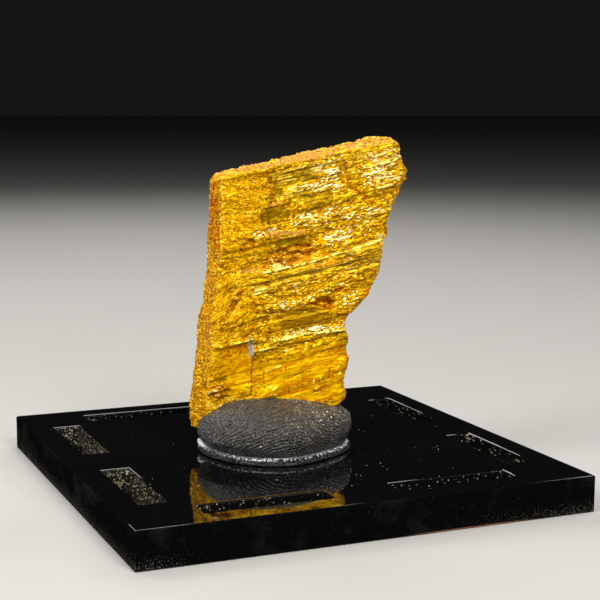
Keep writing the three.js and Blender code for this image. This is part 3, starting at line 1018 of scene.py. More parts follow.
# The front face.
FRONT = Face(
    seed=3.3,
    panels=(
        (-3, 8.8, 33.5, 48, 0.35), (9.6, 21.6, 40.6, 44.6, -0.4), (23, 34, 38.6, 43.4, 0.3),
        (7.5, 12.4, 36.7, 39.4, -0.6), (13, 30, 36.4, 37.6, -0.35), (9.2, 16, 31.6, 33.5, -0.45),
        (6, 29, 27.4, 29.6, 0.5), (9, 26, 25.2, 27.4, 0.2), (8, 20, 20.2, 22.2, -0.3),
        (8.8, 23, 16.9, 18.6, -0.4), (0.6, 6, 8, 17.9, -0.6, 1.6), (6.4, 24, 0, 15.8, -0.35),
        (8, 10.4, 7.6, 9.2, 0.3, 0.8), (4, 6, 8.8, 11.4, 0.35, 0.8),
        (16.6, 18, 6.8, 9.2, 0.25, 0.8), (11.4, 16.4, 7, 10.4, -0.2, 0.8),
    ),
    pits=(
        (12.6, 30.8, 4.4, 1.4, 0, 1.3), (5.2, 33.9, 1.5, 0.9, 0.2, 0.8),
        (18.3, 21.6, 2.1, 1, -0.45, 1.2), (20.7, 23.4, 0.8, 0.7, 0, 0.6),
        (3.1, 24.8, 2.4, 0.6, 1, 0.9), (0.9, 9.6, 2.2, 1.2, -0.1, 1),
    ),
    cracks=(
        (0.28, 0.35, (8.3, 45.4), (9.3, 43.2), (9.8, 39.9)),
        (0.45, 0.4, (21.6, 43.9), (22.8, 39.7), (25.6, 37.1)), (0.2, 0.35, (6.3, 15.1), (6, 8.7)),
        (0.14, 0.25, (8.3, 12), (8.1, 10.6), (8.4, 9.2)), (0.14, 0.3, (19.4, 10), (19.4, 8.3)),
    ),
    lips=(
        (0.2, 0.2, (11.3, 41.9), (15.5, 41.7)), (0.2, 0.2, (11.3, 41), (15.9, 41.2)),
        (0.16, 0.15, (10.8, 44.6), (14.8, 44.9)), (0.3, 0.2, (24.6, 42.6), (30.2, 42.9)),
        (0.35, 0.2, (25.8, 41.2), (28.2, 41.4)), (0.2, 0.2, (26, 38.8), (29.6, 38.9)),
        (0.18, 0.15, (16.4, 37), (20.6, 37.6)), (0.18, 0.1, (11.4, 32.4), (13.2, 32.7)),
        (0.2, 0.25, (7.7, 28.9), (15.8, 28.9), (22, 29.6), (28.6, 30.1)),
        (0.2, 0.15, (12.1, 25.6), (14.1, 25.8)), (0.2, 0.2, (6.6, 26.2), (8.6, 26.3)),
        (0.18, 0.2, (6.5, 25.6), (8.4, 25.7)), (0.14, 0.1, (22.3, 28.3), (23.8, 26.5)),
        (0.26, 0.3, (10.4, 23.3), (11.2, 22.2), (11.9, 21.9), (12.8, 22.3), (14.1, 22.9)),
        (0.2, 0.25, (14.6, 21.8), (15.4, 23), (16.2, 23.5)),
        (0.22, 0.25, (9.4, 30.9), (10, 29.8), (10.9, 29.4), (12, 29.9), (12.4, 30.4)),
        (0.22, 0.25, (9.9, 17), (15, 16.9), (21.9, 16.1)),
        (0.2, 0.25, (-0.4, 18.6), (1.4, 17.7), (3.4, 18), (5.4, 18)),
        (0.14, 0.1, (6.35, 15.95), (10.4, 15.8)), (0.1, 0.1, (8, 9.1), (9.2, 9.4), (10.4, 8.9)),
        (0.1, 0.1, (7.9, 8.4), (8.6, 7.8), (10.2, 7.7)),
        (0.1, 0.1, (16.6, 9), (16.6, 7.6), (17.4, 6.8)), (0.1, 0.1, (17.4, 9.2), (18, 8.2)),
        (0.08, 0.08, (8.4, 12.1), (11.1, 12.4)),
    ),
    bends=(
        (2, 25, 4.5, 4.5, 0.9), (5.5, 20.8, 5, 3, 0.35), (3.6, 38, 4.6, 6, -0.3),
        (16, 9, 9, 5, 0.07),
    ),
    patches={
        Surface.CRUMBLY: (
            (3.6, 41, 4.8, 6.2, 0, 0.8), (4.2, 33, 3, 3.2, 0, 0.7), (1.2, 10.8, 3.4, 4.2, 0, 0.7),
            (0.4, 22, 1.8, 9, 0, 0.8), (3.2, 23.6, 3, 4.6, 0.3, 0.75),
        ),
        Surface.GLASSY: (
            (10.3, 42.2, 0.8, 1.7, 0, 0.8), (13.3, 43.6, 2.8, 1.3, 0, 0.9),
            (14.5, 40.6, 1.6, 0.9, 0, 0.8), (9.8, 37.7, 2.3, 1.2, -0.05, 1),
            (17.4, 38.4, 2.4, 0.9, 0, 0.8), (13, 32.9, 3.2, 0.9, -0.1, 0.8),
            (18.5, 27.6, 8.5, 0.7, 0.03, 0.7), (15, 19.9, 5.6, 1.6, 0, 0.6),
        ),
        Surface.LATHED: (
            (13.3, 43, 3.4, 3.2, 0, 1), (27, 43.4, 4.6, 2.6, 0, 0.9), (18, 27.8, 11, 2.4, 0.02, 1),
        ),
        Surface.CRUMPLED: (
            (18.8, 42.4, 3, 3.6, 0, 0.8), (27.7, 41, 3.6, 3, 0, 0.9),
            (21, 35.6, 8.6, 2.2, -0.05, 0.9), (22.6, 32, 3.8, 2.1, 0, 1),
            (10.5, 29.5, 2.6, 0.7, 0, 1), (8.6, 35.6, 4, 0.8, 0, 0.8), (16.6, 23.4, 8, 2.6, 0, 0.7),
            (16.2, 17.4, 6.6, 0.8, 0, 1), (14.6, 14.9, 6.4, 0.8, -0.04, 0.6),
            (9.2, 8.4, 1.8, 1.3, 0, 0.7), (17.2, 8, 1.1, 1.7, 0.1, 0.7),
            (21.2, 8, 1.2, 3.4, 0, 0.7), (5, 10, 1.5, 1.7, 0, 0.7), (14, 14.6, 6, 0.5, -0.04, 0.6),
        ),
        Surface.TIPPED: (
            (27.8, 41.4, 2.9, 2.2, 0, 0.8), (28, 44.2, 3.2, 0.8, 0, 0.8),
            (20.6, 32.4, 2.4, 1.3, 0, 0.85), (15.6, 36.2, 3.4, 0.8, -0.04, 0.75),
            (24, 35, 3.2, 1, -0.04, 0.6), (10.7, 29.3, 1.8, 0.5, 0, 1), (12.2, 22.3, 2, 0.7, 0, 1),
            (22.8, 21.2, 1.2, 0.9, 0, 0.9), (16.2, 17.3, 6, 0.5, -0.02, 1),
            (13.4, 41.4, 2.4, 0.35, 0, 1), (7.4, 26, 1.3, 0.4, 0, 1),
            (18.6, 42.6, 2.4, 2.4, 0, 0.7), (8.6, 35.4, 2.6, 0.6, 0, 0.8),
            (9.4, 8.9, 1.2, 0.4, 0, 0.5), (21.1, 8.6, 1, 0.5, 0, 0.5),
            (4.8, 10.2, 0.8, 0.6, 0, 0.7), (15, 14.6, 4, 0.35, -0.04, 0.5),
            (-0.2, 8.6, 1.2, 2.6, 0, 0.5),
        ),
        Surface.SATIN: (
            (14.4, 9, 8.6, 5.4, 0, 1), (3, 16, 2.9, 2.2, 0, 1), (4, 11.6, 2.2, 3.4, 0, 0.9),
            (14.6, 20.2, 6.4, 2, 0, 0.5),
        ),
        Surface.DEEP: (
            (12.6, 30.8, 4.4, 1.4, 0, 0.85), (20, 28.2, 4.6, 0.5, 0.03, 0.6),
            (31.2, 38.4, 0.7, 1.8, -0.3, 0.8), (25.6, 21.4, 0.5, 2.2, -0.9, 0.8),
            (22.5, 17.4, 0.7, 1.5, 0, 0.8), (22.8, 10.5, 0.4, 3.5, 0, 0.7),
            (5.1, 34, 1.2, 0.7, 0.2, 0.6), (18.3, 21.5, 1.7, 0.8, -0.45, 1),
            (20.9, 23.2, 0.8, 0.6, 0, 0.8), (3.1, 24.8, 2.3, 0.5, 1, 0.9),
            # Both patches on this row paint the shadow under the ledge near f 18 in dark orange.
            (3, 16.4, 2.9, 1.8, 0, 0.45), (3.1, 17.3, 2.6, 0.45, -0.05, 0.8),
            (0.6, 10.7, 1.8, 0.8, -0.35, 0.9), (13.8, 8.4, 2.6, 1.5, 0.05, 0.5),
            (20, 12.6, 2.6, 1.2, 0.1, 0.45), (11.6, 11.7, 0.5, 0.5, 0, 0.8),
        ),
        Surface.POWDERY: (
            (15.5, 46.4, 5, 0.5, 0, 0.8), (12, 34.6, 3.6, 0.4, -0.16, 0.8),
            (5.6, 29.7, 1.6, 0.3, 0, 0.7), (9.4, 39.7, 1.9, 0.3, 0.05, 0.6),
        ),
        Surface.VEIN: ((5.9, 16.8, 0.35, 1.7, 0.12, 1, 0.25), (27.7, 30.7, 0.3, 0.3, 0, 0.8)),
    },
)

# The back face, which broke in broader steps.
BACK = Face(
    seed=21.7,
    panels=(
        (13, 34, 19.5, 48, 0.7), (-3, 16.5, 38.2, 48, -0.6), (-3, 9, 12.4, 27, 0.5),
        (10, 34, 31.4, 34.2, 0.5), (4, 26, 9.6, 12.6, -0.5),
    ),
    pits=(
        (8, 33.5, 3, 1.4, 0.1, 0.8), (22.5, 26, 2.2, 0.9, -0.3, 0.7),
    ),
    cracks=(
        (0.4, 0.6, (17, 44.5), (16.2, 38.5)), (0.35, 0.5, (9.2, 26), (9.8, 19.5)),
    ),
    lips=(
        (0.2, 0.25, (13.6, 39.2), (20, 39.6), (29, 39.4)),
        (0.2, 0.25, (11, 34.2), (18, 34.4), (27, 34.2)),
        (0.2, 0.2, (-0.5, 27), (4, 27.2), (8.6, 27)),
        (0.22, 0.25, (13.4, 20), (18, 19.6), (22.6, 19.8)),
        (0.2, 0.2, (20.6, 27.1), (22.4, 26.9), (24.4, 26.5)),
        (0.16, 0.15, (5.2, 9.6), (12, 9.4), (20.6, 9.8)),
    ),
    bends=(
        (5, 33, 5, 5, 0.5), (23, 24, 4, 3.5, -0.8),
    ),
    patches={
        Surface.CRUMPLED: (
            (21, 41, 7.5, 3.4, 0, 0.9), (6, 30, 6.5, 2.6, 0, 0.8), (16, 21.5, 7.5, 2, 0, 0.8),
        ),
        Surface.TIPPED: (
            (22, 41.5, 5.5, 2, 0, 0.9), (5, 29.6, 4, 1, 0, 0.9), (17, 21, 5.5, 0.9, 0, 1),
            (24, 33.8, 4, 0.6, 0, 0.9),
        ),
        Surface.LATHED: ((19, 33, 10, 3.4, 0, 1), (3.5, 21, 6, 4.4, 0, 0.9)),
        Surface.GLASSY: (
            (22, 35.6, 4.5, 1, 0, 0.8), (5, 42.5, 4.2, 2.4, 0, 0.7), (13, 28, 3, 1.2, 0, 0.7),
        ),
        Surface.SATIN: ((13, 11, 9.5, 4.6, 0, 0.9),),
        Surface.CRUMBLY: ((27, 28, 3, 4.2, 0, 0.8), (1, 10, 3.4, 3.6, 0, 0.7)),
        Surface.DEEP: ((8, 33.5, 2.6, 1.1, 0.1, 0.8), (22.5, 26, 1.9, 0.7, -0.3, 0.9)),
        Surface.POWDERY: ((11, 46.2, 9, 0.8, 0, 0.8),),
        Surface.VEIN: ((24.5, 17.6, 1.2, 0.3, 0.2, 0.8),),
    },
)


@dataclass
class OrpimentSlab:
    """The cleaved slab, in millimetres, in its own directions u, t and f."""

    corner: Pair = (-13.3, -3.2)  # the front left corner, seen from above
    yaw: float = math.radians(-11)
    thickness: float = 6.5
    fibre_slope: float = 0.2
    foot: float = 4.2
    foot_sag: float = 1.0
    foot_fall: float = 0.8
    foot_fade: float = 2.0
    crown: float = 46.0
    crown_rise: Pair = (0.2, 0.6)
    crown_run: float = 0.55
    chip_depth: float = 1.0
    chip_reach: float = 0.55
    rim_depth: float = 0.55
    rim_reach: float = 0.6
    left_rim: float = 1.6  # how much tighter the left edge is rounded
    columns: int = 126
    layers: int = 24
    rows: int = 278
    face_index: float = 2.1  # the refractive index that shows on the cleaved faces
    wall_index: float = 1.15
    side_chips: tuple[Row, ...] = (
        (0.25, 0.7, 0.6, 1.3), (0.22, 2.4, 1.1, 4.1), (0.12, 4.6, 3.4, 7.7))
    left: Outline = (
        (-1.2, 4.2), (-1.6, 5.4), (-1.5, 8.5), (-1.4, 11.7), (-0.9, 15), (-0.6, 19), (-0.7, 23),
        (0, 26.1), (0.6, 32), (0.9, 38), (1.0, 46))
    rear_left: Outline = (
        (-2.2, 4.2), (-2.5, 5.6), (-2.3, 9), (-2.1, 12.3), (-1.5, 14.4), (-1.3, 17), (-1.1, 20),
        (-0.7, 22.6), (0, 25), (0.2, 28), (0.5, 31.5), (0.5, 35), (0.9, 38.6), (0.7, 41), (1.0, 46))
    right: Outline = (
        (21.6, 3.4), (22.5, 4.1), (22.6, 4.9), (22.1, 7.5), (22.8, 9.4), (22.9, 10.7), (22.7, 11.9),
        (22.8, 14.7), (22, 16.5), (22.4, 17.5), (23.1, 18.6), (25.7, 20.9), (26.6, 22.1),
        (27.1, 23.2), (28, 24.5), (28.2, 27), (28, 28.3), (28.4, 29.6), (29.4, 30.9), (29.1, 32.2),
        (29.8, 34.9), (31.2, 37.2), (32, 39.5), (32.3, 40.5), (31.7, 41.9), (31, 44.7), (30.4, 46))

    def to_plate(self, u: float, t: float, f: float) -> Vector:
        """Returns a point of the slab in the plate's directions, in mm over the plate's top."""
        x, y = (c + u * way(self.yaw) for c, way in zip(self.corner, (math.cos, math.sin)))
        return Vector((x, y + t, f + self.fibre_slope * u))

    def from_plate(self, x: float, y: float) -> Pair:
        """Returns the u and t of a point seen from above."""
        u = (x - self.corner[0]) / math.cos(self.yaw)
        return u, y - self.corner[1] - u * math.sin(self.yaw)

    def build(self, floor: float) -> None:
        """Builds the slab, with its grain and surface attributes.

        Args:
            floor: the height of the plate's top, in mm.
        """
        bm = bmesh.new()
        bmesh.ops.create_cube(bm, size=1.0)
        for face in bm.faces:
            face.material_index = 0 if abs(face.normal.y) > 0.5 else 1
        for axis, count in ((0, self.columns), (2, self.rows), (1, self.layers)):
            edges = [e for e in bm.edges if abs((e.verts[0].co - e.verts[1].co)[axis]) > 0.5]
            bmesh.ops.subdivide_edges(bm, edges=edges, cuts=count - 1, use_grid_fill=True)
        grain, shares = [], {surface: [] for surface in Surface}
        for vertex in bm.verts:
            wide, back, up = (round(c + 0.5, 6) for c in vertex.co)
            point, found = self._shape(wide, back, up)
            face = BACK if back > 0.5 else FRONT
            grain.extend((point.x, point.y, face.grain(point.x, point.z)))
            for surface in Surface:
                shares[surface].append(found[surface])
            spot = (self.to_plate(*point) + Vector((0, 0, floor))) * MM
            spot.z = min(spot.z, CAD_BOX[1][2])
            vertex.co = spot
        piece = to_object(
            bm, "orpiment_slab_faces",
            Orpiment("cleaved orpiment", self.yaw, self.face_index).build(),
            Orpiment("crushed orpiment", self.yaw, self.wall_index).build())
        directions = piece.data.attributes.new("grain", "FLOAT_VECTOR", "POINT")
        directions.data.foreach_set("vector", grain)
        for surface, values in shares.items():
            store(piece, surface.value, values)
        place(piece, "orpiment", "orpiment_slab")

    def _shape(self, wide: float, back: float, up: float) -> tuple[Vector, dict[Surface, float]]:
        """Finds where a vertex of the unit block goes.

        Args:
            wide: its share of the way from the left side to the right.
            back: its share of the way from the front to the back.
            up: its share of the way from the foot to the crown.

        Returns:
            Its u, t and f, and what the slab is made of there.
        """
        row = mix(self.foot, self.crown, up)
        faded = math.exp((self.foot - row) / self.foot_fade)
        f = row + self._crown_rise(wide, back) * up - self.sag(wide) * faded
        left = mix(across(self.left, f), across(self.rear_left, f), back)
        right = across(self.right, f)
        u = mix(left, right, wide)
        if wide in (0.0, 1.0):
            u += ripples(f, back * self.thickness, 8 * wide, self.side_chips)
        edge = min(right - u, (u - left) * self.left_rim)
        fall = self.rim_depth * math.exp(-max(edge, 0) / self.rim_reach)
        front = rear = 0.0
        if back < 1:
            found = FRONT.shares(u, f)
            front = fall - FRONT.relief(u, f, found)
        if back > 0:
            found = BACK.shares(u, f)
            rear = self.thickness - fall + BACK.relief(u, f, found)
        t = mix(front, rear, back)
        if 0 < back < 1:
            found = self._broken(u, t, f, wide, up)
        if up == 1.0:
            f += self._top_crumbs(u, t)
        return Vector((u, t, f)), found

    def _crown_rise(self, wide: float, back: float) -> float:
        """Works out how far the broken top climbs at a place.

        Args:
            wide: the share of the way from the left side to the right.
            back: the share of the way from the front to the back.

        Returns:
            A height in mm.
        """
        climb = mix(*self.crown_rise, wide)
        chip = self.chip_depth * math.exp(-wide * self.right[-1][0] / self.chip_reach)
        return (climb - chip) * min(1.0, back / self.crown_run)

    def sag(self, wide: float) -> float:
        """Returns how much deeper the foot reaches at a share of the slab's width."""
        return self.foot_sag * math.sin(math.pi * wide) + self.foot_fall * wide

    def _top_crumbs(self, u: float, t: float) -> float:
        """Returns the relief of the broken top."""
        fine = 0.3 * noise.fractal(Vector((1.9 * u, 1.7 * t, 6.5)), 0.7, 2.1, 3)
        return 0.35 * waver(0.8 * u, 0.5 * t, 2.5) + fine

    def _broken(self, u: float, t: float, f: float, wide: float, up: float) -> dict[Surface, float]:
        """Says what the broken sides, top and foot are made of.

        Args:
            u: the point's place along the slab.
            t: its depth.
            f: its height.
            wide: 0 on the left side and 1 on the right.
            up: 0 on the foot and 1 on the top.

        Returns:
            A share from 0 to 1 for each surface.
        """
        found = dict.fromkeys(Surface, 0.0)
        found[Surface.CRUMBLY] = 0.9
        blotch = noise.fractal(Vector((0.5 * u + 9, 0.6 * t, 0.35 * f)), 0.9, 2.0, 3)
        if up in (0.0, 1.0):
            middle = bell(u - 16.0, 6.0)
            found[Surface.POWDERY] = clamp(mix(-0.5, 0.75, middle) + 0.6 * blotch)
        elif wide == 0.0:
            high = smoothstep(30, 38, f)
            bruised = mix(0.1, -0.3, high) * smoothstep(16, 24, f)
            found[Surface.DEEP] = clamp(mix(0.0, 0.6, high) + 0.5 * blotch)
            found[Surface.POWDERY] = clamp(bruised - 0.5 * blotch)
        else:
            found[Surface.DEEP] = clamp(0.3 + 0.8 * blotch)
            found[Surface.POWDERY] = clamp(0.3 - 0.7 * blotch)
        return found


# ---- The putty ----


@dataclass(frozen=True)
class Dent:
    """A push or a bulge in the lump's side: strongest at one angle and fading round it."""

    angle: float
    spread: float
    reach: float

    def at(self, angle: float) -> float:
        """Returns how far the side is moved out at an angle, in mm."""
        turn = math.atan2(math.sin(angle - self.angle), math.cos(angle - self.angle))
        return self.reach * bell(turn, self.spread)


@dataclass(frozen=True)
class FingerPrint:
    """Ridges that a fingertip left, as loops round a point on the lump's skin, in mm."""

    angle: float
    height: float
    reach: Pair
    loop_angle: float
    loop_height: float
    stretch: float
    strength: float


@dataclass
class PuttyLump:
    """The lump of mounting putty, pressed round the slab's foot, in millimetres."""

    slab: OrpimentSlab
    centre: Pair = (-2.0, -3.0)
    radius: float = 12.8
    height: float = 9.0
    tilt: float = -0.11
    waist: float = 3.4
    toe: Dent = Dent(2.7, 0.6, 1.1)
    flat: Dent = Dent(-1.1, 0.65, -1.8)
    bulge: Dent = Dent(-2.9, 0.7, 1.6)
    shoulder: Triple = (0.72, -0.17, 0.4)  # how full it is, how that varies, and where
    front_round: Dent = Dent(-1.98, 0.8, 0.26)
    lip: Dent = Dent(2.86, 0.16, 0.9)
    lip_heights: tuple[Pair, Pair] = ((0.4, 1.04), (1.12, 1.3))
    smear_top: Pair = (1.14, 1.3)
    roll: Outline = (
        (0.965, 0), (0.985, 0.1), (0.992, 0.3), (0.985, 0.5), (0.955, 1.04), (0.935, 1.12),
        (0.918, 1.3), (0.935, 1.7), (0.968, 2.4), (1.0, 3.4))
    ridge_width: float = 0.5
    ridge_height: float = 0.045
    turns: int = 600
    skin_step: float = 0.15
    socket_gap: float = 0.4  # under the slab's foot
    prints: tuple[FingerPrint, ...] = (
        FingerPrint(-2.15, 5.0, (8.5, 4.6), -1.75, -4.0, 1.3, 1.0),
        FingerPrint(-1.2, 5.0, (6.0, 4.6), -0.9, 10.5, 1.2, 0.6),
        FingerPrint(0.6, 4.6, (7.0, 3.4), 0.5, -2.5, 1.8, 0.9),
        FingerPrint(2.4, 5.0, (7.0, 3.6), 2.6, -3.0, 1.6, 0.9))
    grains: int = 420
    grain_faces: int = 7  # in one grain
    dusty_height: float = 8.2  # grains lie above it
    dusty_side: Pair = (-1.15, 0.6)  # the angle, and how far round it fades

    def build(self, floor: float) -> None:
        """Builds the lump, with its "smear", "loop" and "printed" attributes.

        Args:
            floor: the height of the plate's top, in mm.
        """
        bm = bmesh.new()
        verts = [bm.verts.new((r, 0, z)) for r, z in self._profile()]
        edges = [bm.edges.new(pair) for pair in zip(verts, verts[1:])]
        bmesh.ops.spin(bm, geom=verts + edges, cent=(0, 0, 0), axis=(0, 0, 1), angle=math.tau,
                       steps=self.turns, use_merge=True)
        bmesh.ops.remove_doubles(bm, verts=bm.verts[:], dist=1e-4)
        smear = [1 - smoothstep(*self.smear_top, v.co.z) for v in bm.verts]
        for vertex in bm.verts:
            vertex.co = self._warp(vertex.co)
        bmesh.ops.recalc_face_normals(bm, faces=bm.faces[:])
        bm.normal_update()
        marks = [self._print(v.co) for v in bm.verts]
        moves = [v.normal * self._skin(v.co, *found) for v, *found in zip(bm.verts, smear, marks)]
        for vertex, move in zip(bm.verts, moves):
            spot = vertex.co + move
            spot.z = max(spot.z, 0.0)
            spot.z = self._socket(spot)
            vertex.co = (spot + Vector((0, 0, floor))) * MM
        piece = to_object(bm, "putty_lump", PressedPutty("black mounting putty").build())
        store(piece, "smear", smear)
        store(piece, "loop", [loop for loop, _ in marks])
        store(piece, "printed", [min(1.0, 1.6 * share) for _, share in marks])
        place(piece, "mounting_putty", "mounting_putty")
        self._sprinkle(piece)

    def _sprinkle(self, piece: Object) -> None:
        """Drops grains of the slab on the lump, most of them on its right.

        Args:
            piece: the finished lump.
        """
        dust = Dust("putty_dust", 11)
        low = self.dusty_height * MM
        faces = [p for p in piece.data.polygons if p.center.z > low and p.normal.z > -0.2]
        faces.sort(key=lambda p: sorted(p.vertices))  # bmesh leaves them in no fixed order
        side, spread = self.dusty_side
        while len(dust.bm.faces) < self.grains * self.grain_faces:
            face = dust.lot.choice(faces)
            x, y, z = (c / MM for c in face.center)
            near = bell(math.remainder(self._angle(x, y) - side, math.tau), spread)
            clump = 0.5 + 0.8 * waver(0.7 * x, 0.7 * y, 0.7 * z)
            if dust.lot.random() < (0.04 + 0.96 * near) * clump:
                dust.add(face.center, dust.lot.uniform(0.08, 0.17) + 0.14 * dust.lot.random() ** 4)
        dust.build()

    def _angle(self, x: float, y: float) -> float:
        """Returns the angle of a point round the lump's middle."""
        return math.atan2(y - self.centre[1], x - self.centre[0])

    def _profile(self) -> list[Pair]:
        """Works out the lump's section.

        Returns:
            Points as a share of the radius and a height in mm, from the foot's middle to the top.
        """
        points = [(0.0, 0.0), (0.35, 0.0), (0.7, 0.0), (0.88, 0.0)]
        for (r0, z0), (r1, z1) in zip(self.roll, self.roll[1:]):
            run = math.hypot((r1 - r0) * self.radius, z1 - z0)
            steps = max(1, round(run / self.skin_step))
            points += [(mix(r0, r1, i / steps), mix(z0, z1, i / steps)) for i in range(steps)]
        dome = self.height - self.waist
        steps = round(1.1 * self.radius / self.skin_step)
        for i in range(steps):
            angle = math.pi / 2 * i / steps
            points.append((math.cos(angle), self.waist + dome * math.sin(angle)))
        return [*points, (0.0, self.height)]

    def _warp(self, spot: Vector) -> Vector:
        """Turns a point of the round lump into one of the pressed lump.

        Args:
            spot: a point with its radius as a share and its height in mm.

        Returns:
            The point in mm over the plate's top.
        """
        angle = math.atan2(spot.y, spot.x)
        mean, swing, turn = self.shoulder
        power = mean + swing * math.cos(angle + turn) + self.front_round.at(angle)
        radius = math.hypot(spot.x, spot.y)
        dome = self.height - self.waist
        overhang = smoothstep(self.waist / 3, self.waist, spot.z)
        side = mix(self.toe.at(angle), self.bulge.at(angle), overhang)
        under, over = (smoothstep(*span, spot.z) for span in self.lip_heights)
        lifted = self.lip.at(angle) * (under - over)
        reach = self.radius + self.flat.at(angle) + side + 0.5 * lifted
        height = spot.z + lifted
        climb = 0.0
        if spot.z > self.waist + 1e-6:
            climb = clamp((spot.z - self.waist) / dome) ** power
            height = self.waist + dome * climb
            radius = radius ** power
        x, y = (reach * radius * way(angle) for way in (math.cos, math.sin))
        return Vector((self.centre[0] + x, self.centre[1] + y, height + self.tilt * climb * x))

    def _skin(self, spot: Vector, smear: float, mark: Pair) -> float:
        """Works out the relief of the lump's skin.

        Args:
            spot: a point on the lump, in mm.
            smear: 1 on the rolled rim.
            mark: the fingerprint's phase and strength there.

        Returns:
            How far the point moves outwards, in mm.
        """
        if spot.z < 0.05:
            return 0.0
        lumps = 0.16 * noise.noise(spot * 0.28) + 0.07 * noise.noise(spot * 0.8)
        if smear > 0.5:
            teeth = waver(30 * self._angle(spot.x, spot.y), 0.8 * spot.z, 3.0)
            return 0.2 * smoothstep(0.15, 0.6, spot.z) * teeth + 0.3 * lumps
        pebbles = 0.07 * noise.noise(spot * 1.5) + 0.035 * noise.noise(spot * 3.2)
        loop, share = mark
        return lumps + pebbles + self.ridge_height * share * math.sin(loop)

    def _print(self, spot: Vector) -> Pair:
        """Finds the fingerprint that shows most at a point.

        Args:
            spot: a point on the lump, in mm.

        Returns:
            The phase of its ridges, and how strongly it shows.
        """
        angle = self._angle(spot.x, spot.y)
        best = (0.0, 0.0)
        for mark in self.prints:
            along, side = (
                self.radius * math.remainder(angle - middle, math.tau)
                for middle in (mark.angle, mark.loop_angle))
            off = math.hypot(along / mark.reach[0], (spot.z - mark.height) / mark.reach[1])
            share = mark.strength * bell(off, 1.0)
            if share > best[1]:
                loop = math.hypot(side / mark.stretch, spot.z - mark.loop_height)
                loop += 0.3 * waver(0.9 * along, 0.5 * spot.z, mark.angle)
                best = (math.tau * loop / self.ridge_width, share)
        return best

    def _socket(self, spot: Vector) -> float:
        """Lowers a point under the slab's foot, where the slab stands.

        Args:
            spot: a point on the lump, in mm.

        Returns:
            Its height, in mm.
        """
        slab, end = self.slab, self.slab.right[0][0]
        u, t = slab.from_plate(spot.x, spot.y)
        inside = min(u + 0.8, end - 0.6 - u, t - 1.3, slab.thickness - 1.2 - t)
        if inside <= 0 or spot.z < 1.5:
            return spot.z
        wide = clamp((u + 1.2) / (end + 1.2))
        under = slab.foot - slab.sag(wide) + slab.fibre_slope * u - self.socket_gap
        return mix(spot.z, min(spot.z, max(under, 0.5)), smoothstep(0, 0.5, inside))


# ---- Dust ----


class Dust:
    """Grains that came off the slab, as one piece of loose flakes."""

    def __init__(self, name: str, seed: int) -> None:
        """Starts an empty scatter of grains.

        Args:
            name: the piece's name.
            seed: sets the draws of place, size and turn.
        """
        self.name = name
        self.lot = random.Random(seed)
        self.bm = bmesh.new()

    def add(self, spot: Vector, size: float) -> None:
        """Adds a grain, half sunk where it lies.

        Args:
            spot: its middle, in metres.
            size: its width, in mm.
        """
        turn = Euler([self.lot.uniform(0, math.tau) for _ in range(3)]).to_matrix().to_4x4()
        flat = Matrix.Diagonal((1, self.lot.uniform(0.5, 1), self.lot.uniform(0.3, 0.6), 1))
        bmesh.ops.create_cone(
            self.bm, cap_ends=True, segments=5, radius1=size * MM / 2, radius2=size * MM / 3,
            depth=size * MM, matrix=Matrix.Translation(spot) @ turn @ flat)

    def build(self) -> None:
        """Builds the piece from its grains."""
        piece = to_object(self.bm, self.name, OrpimentDust("orpiment dust").build())
        piece.data.shade_flat()
        place(piece, "orpiment")


# ---- The plate ----


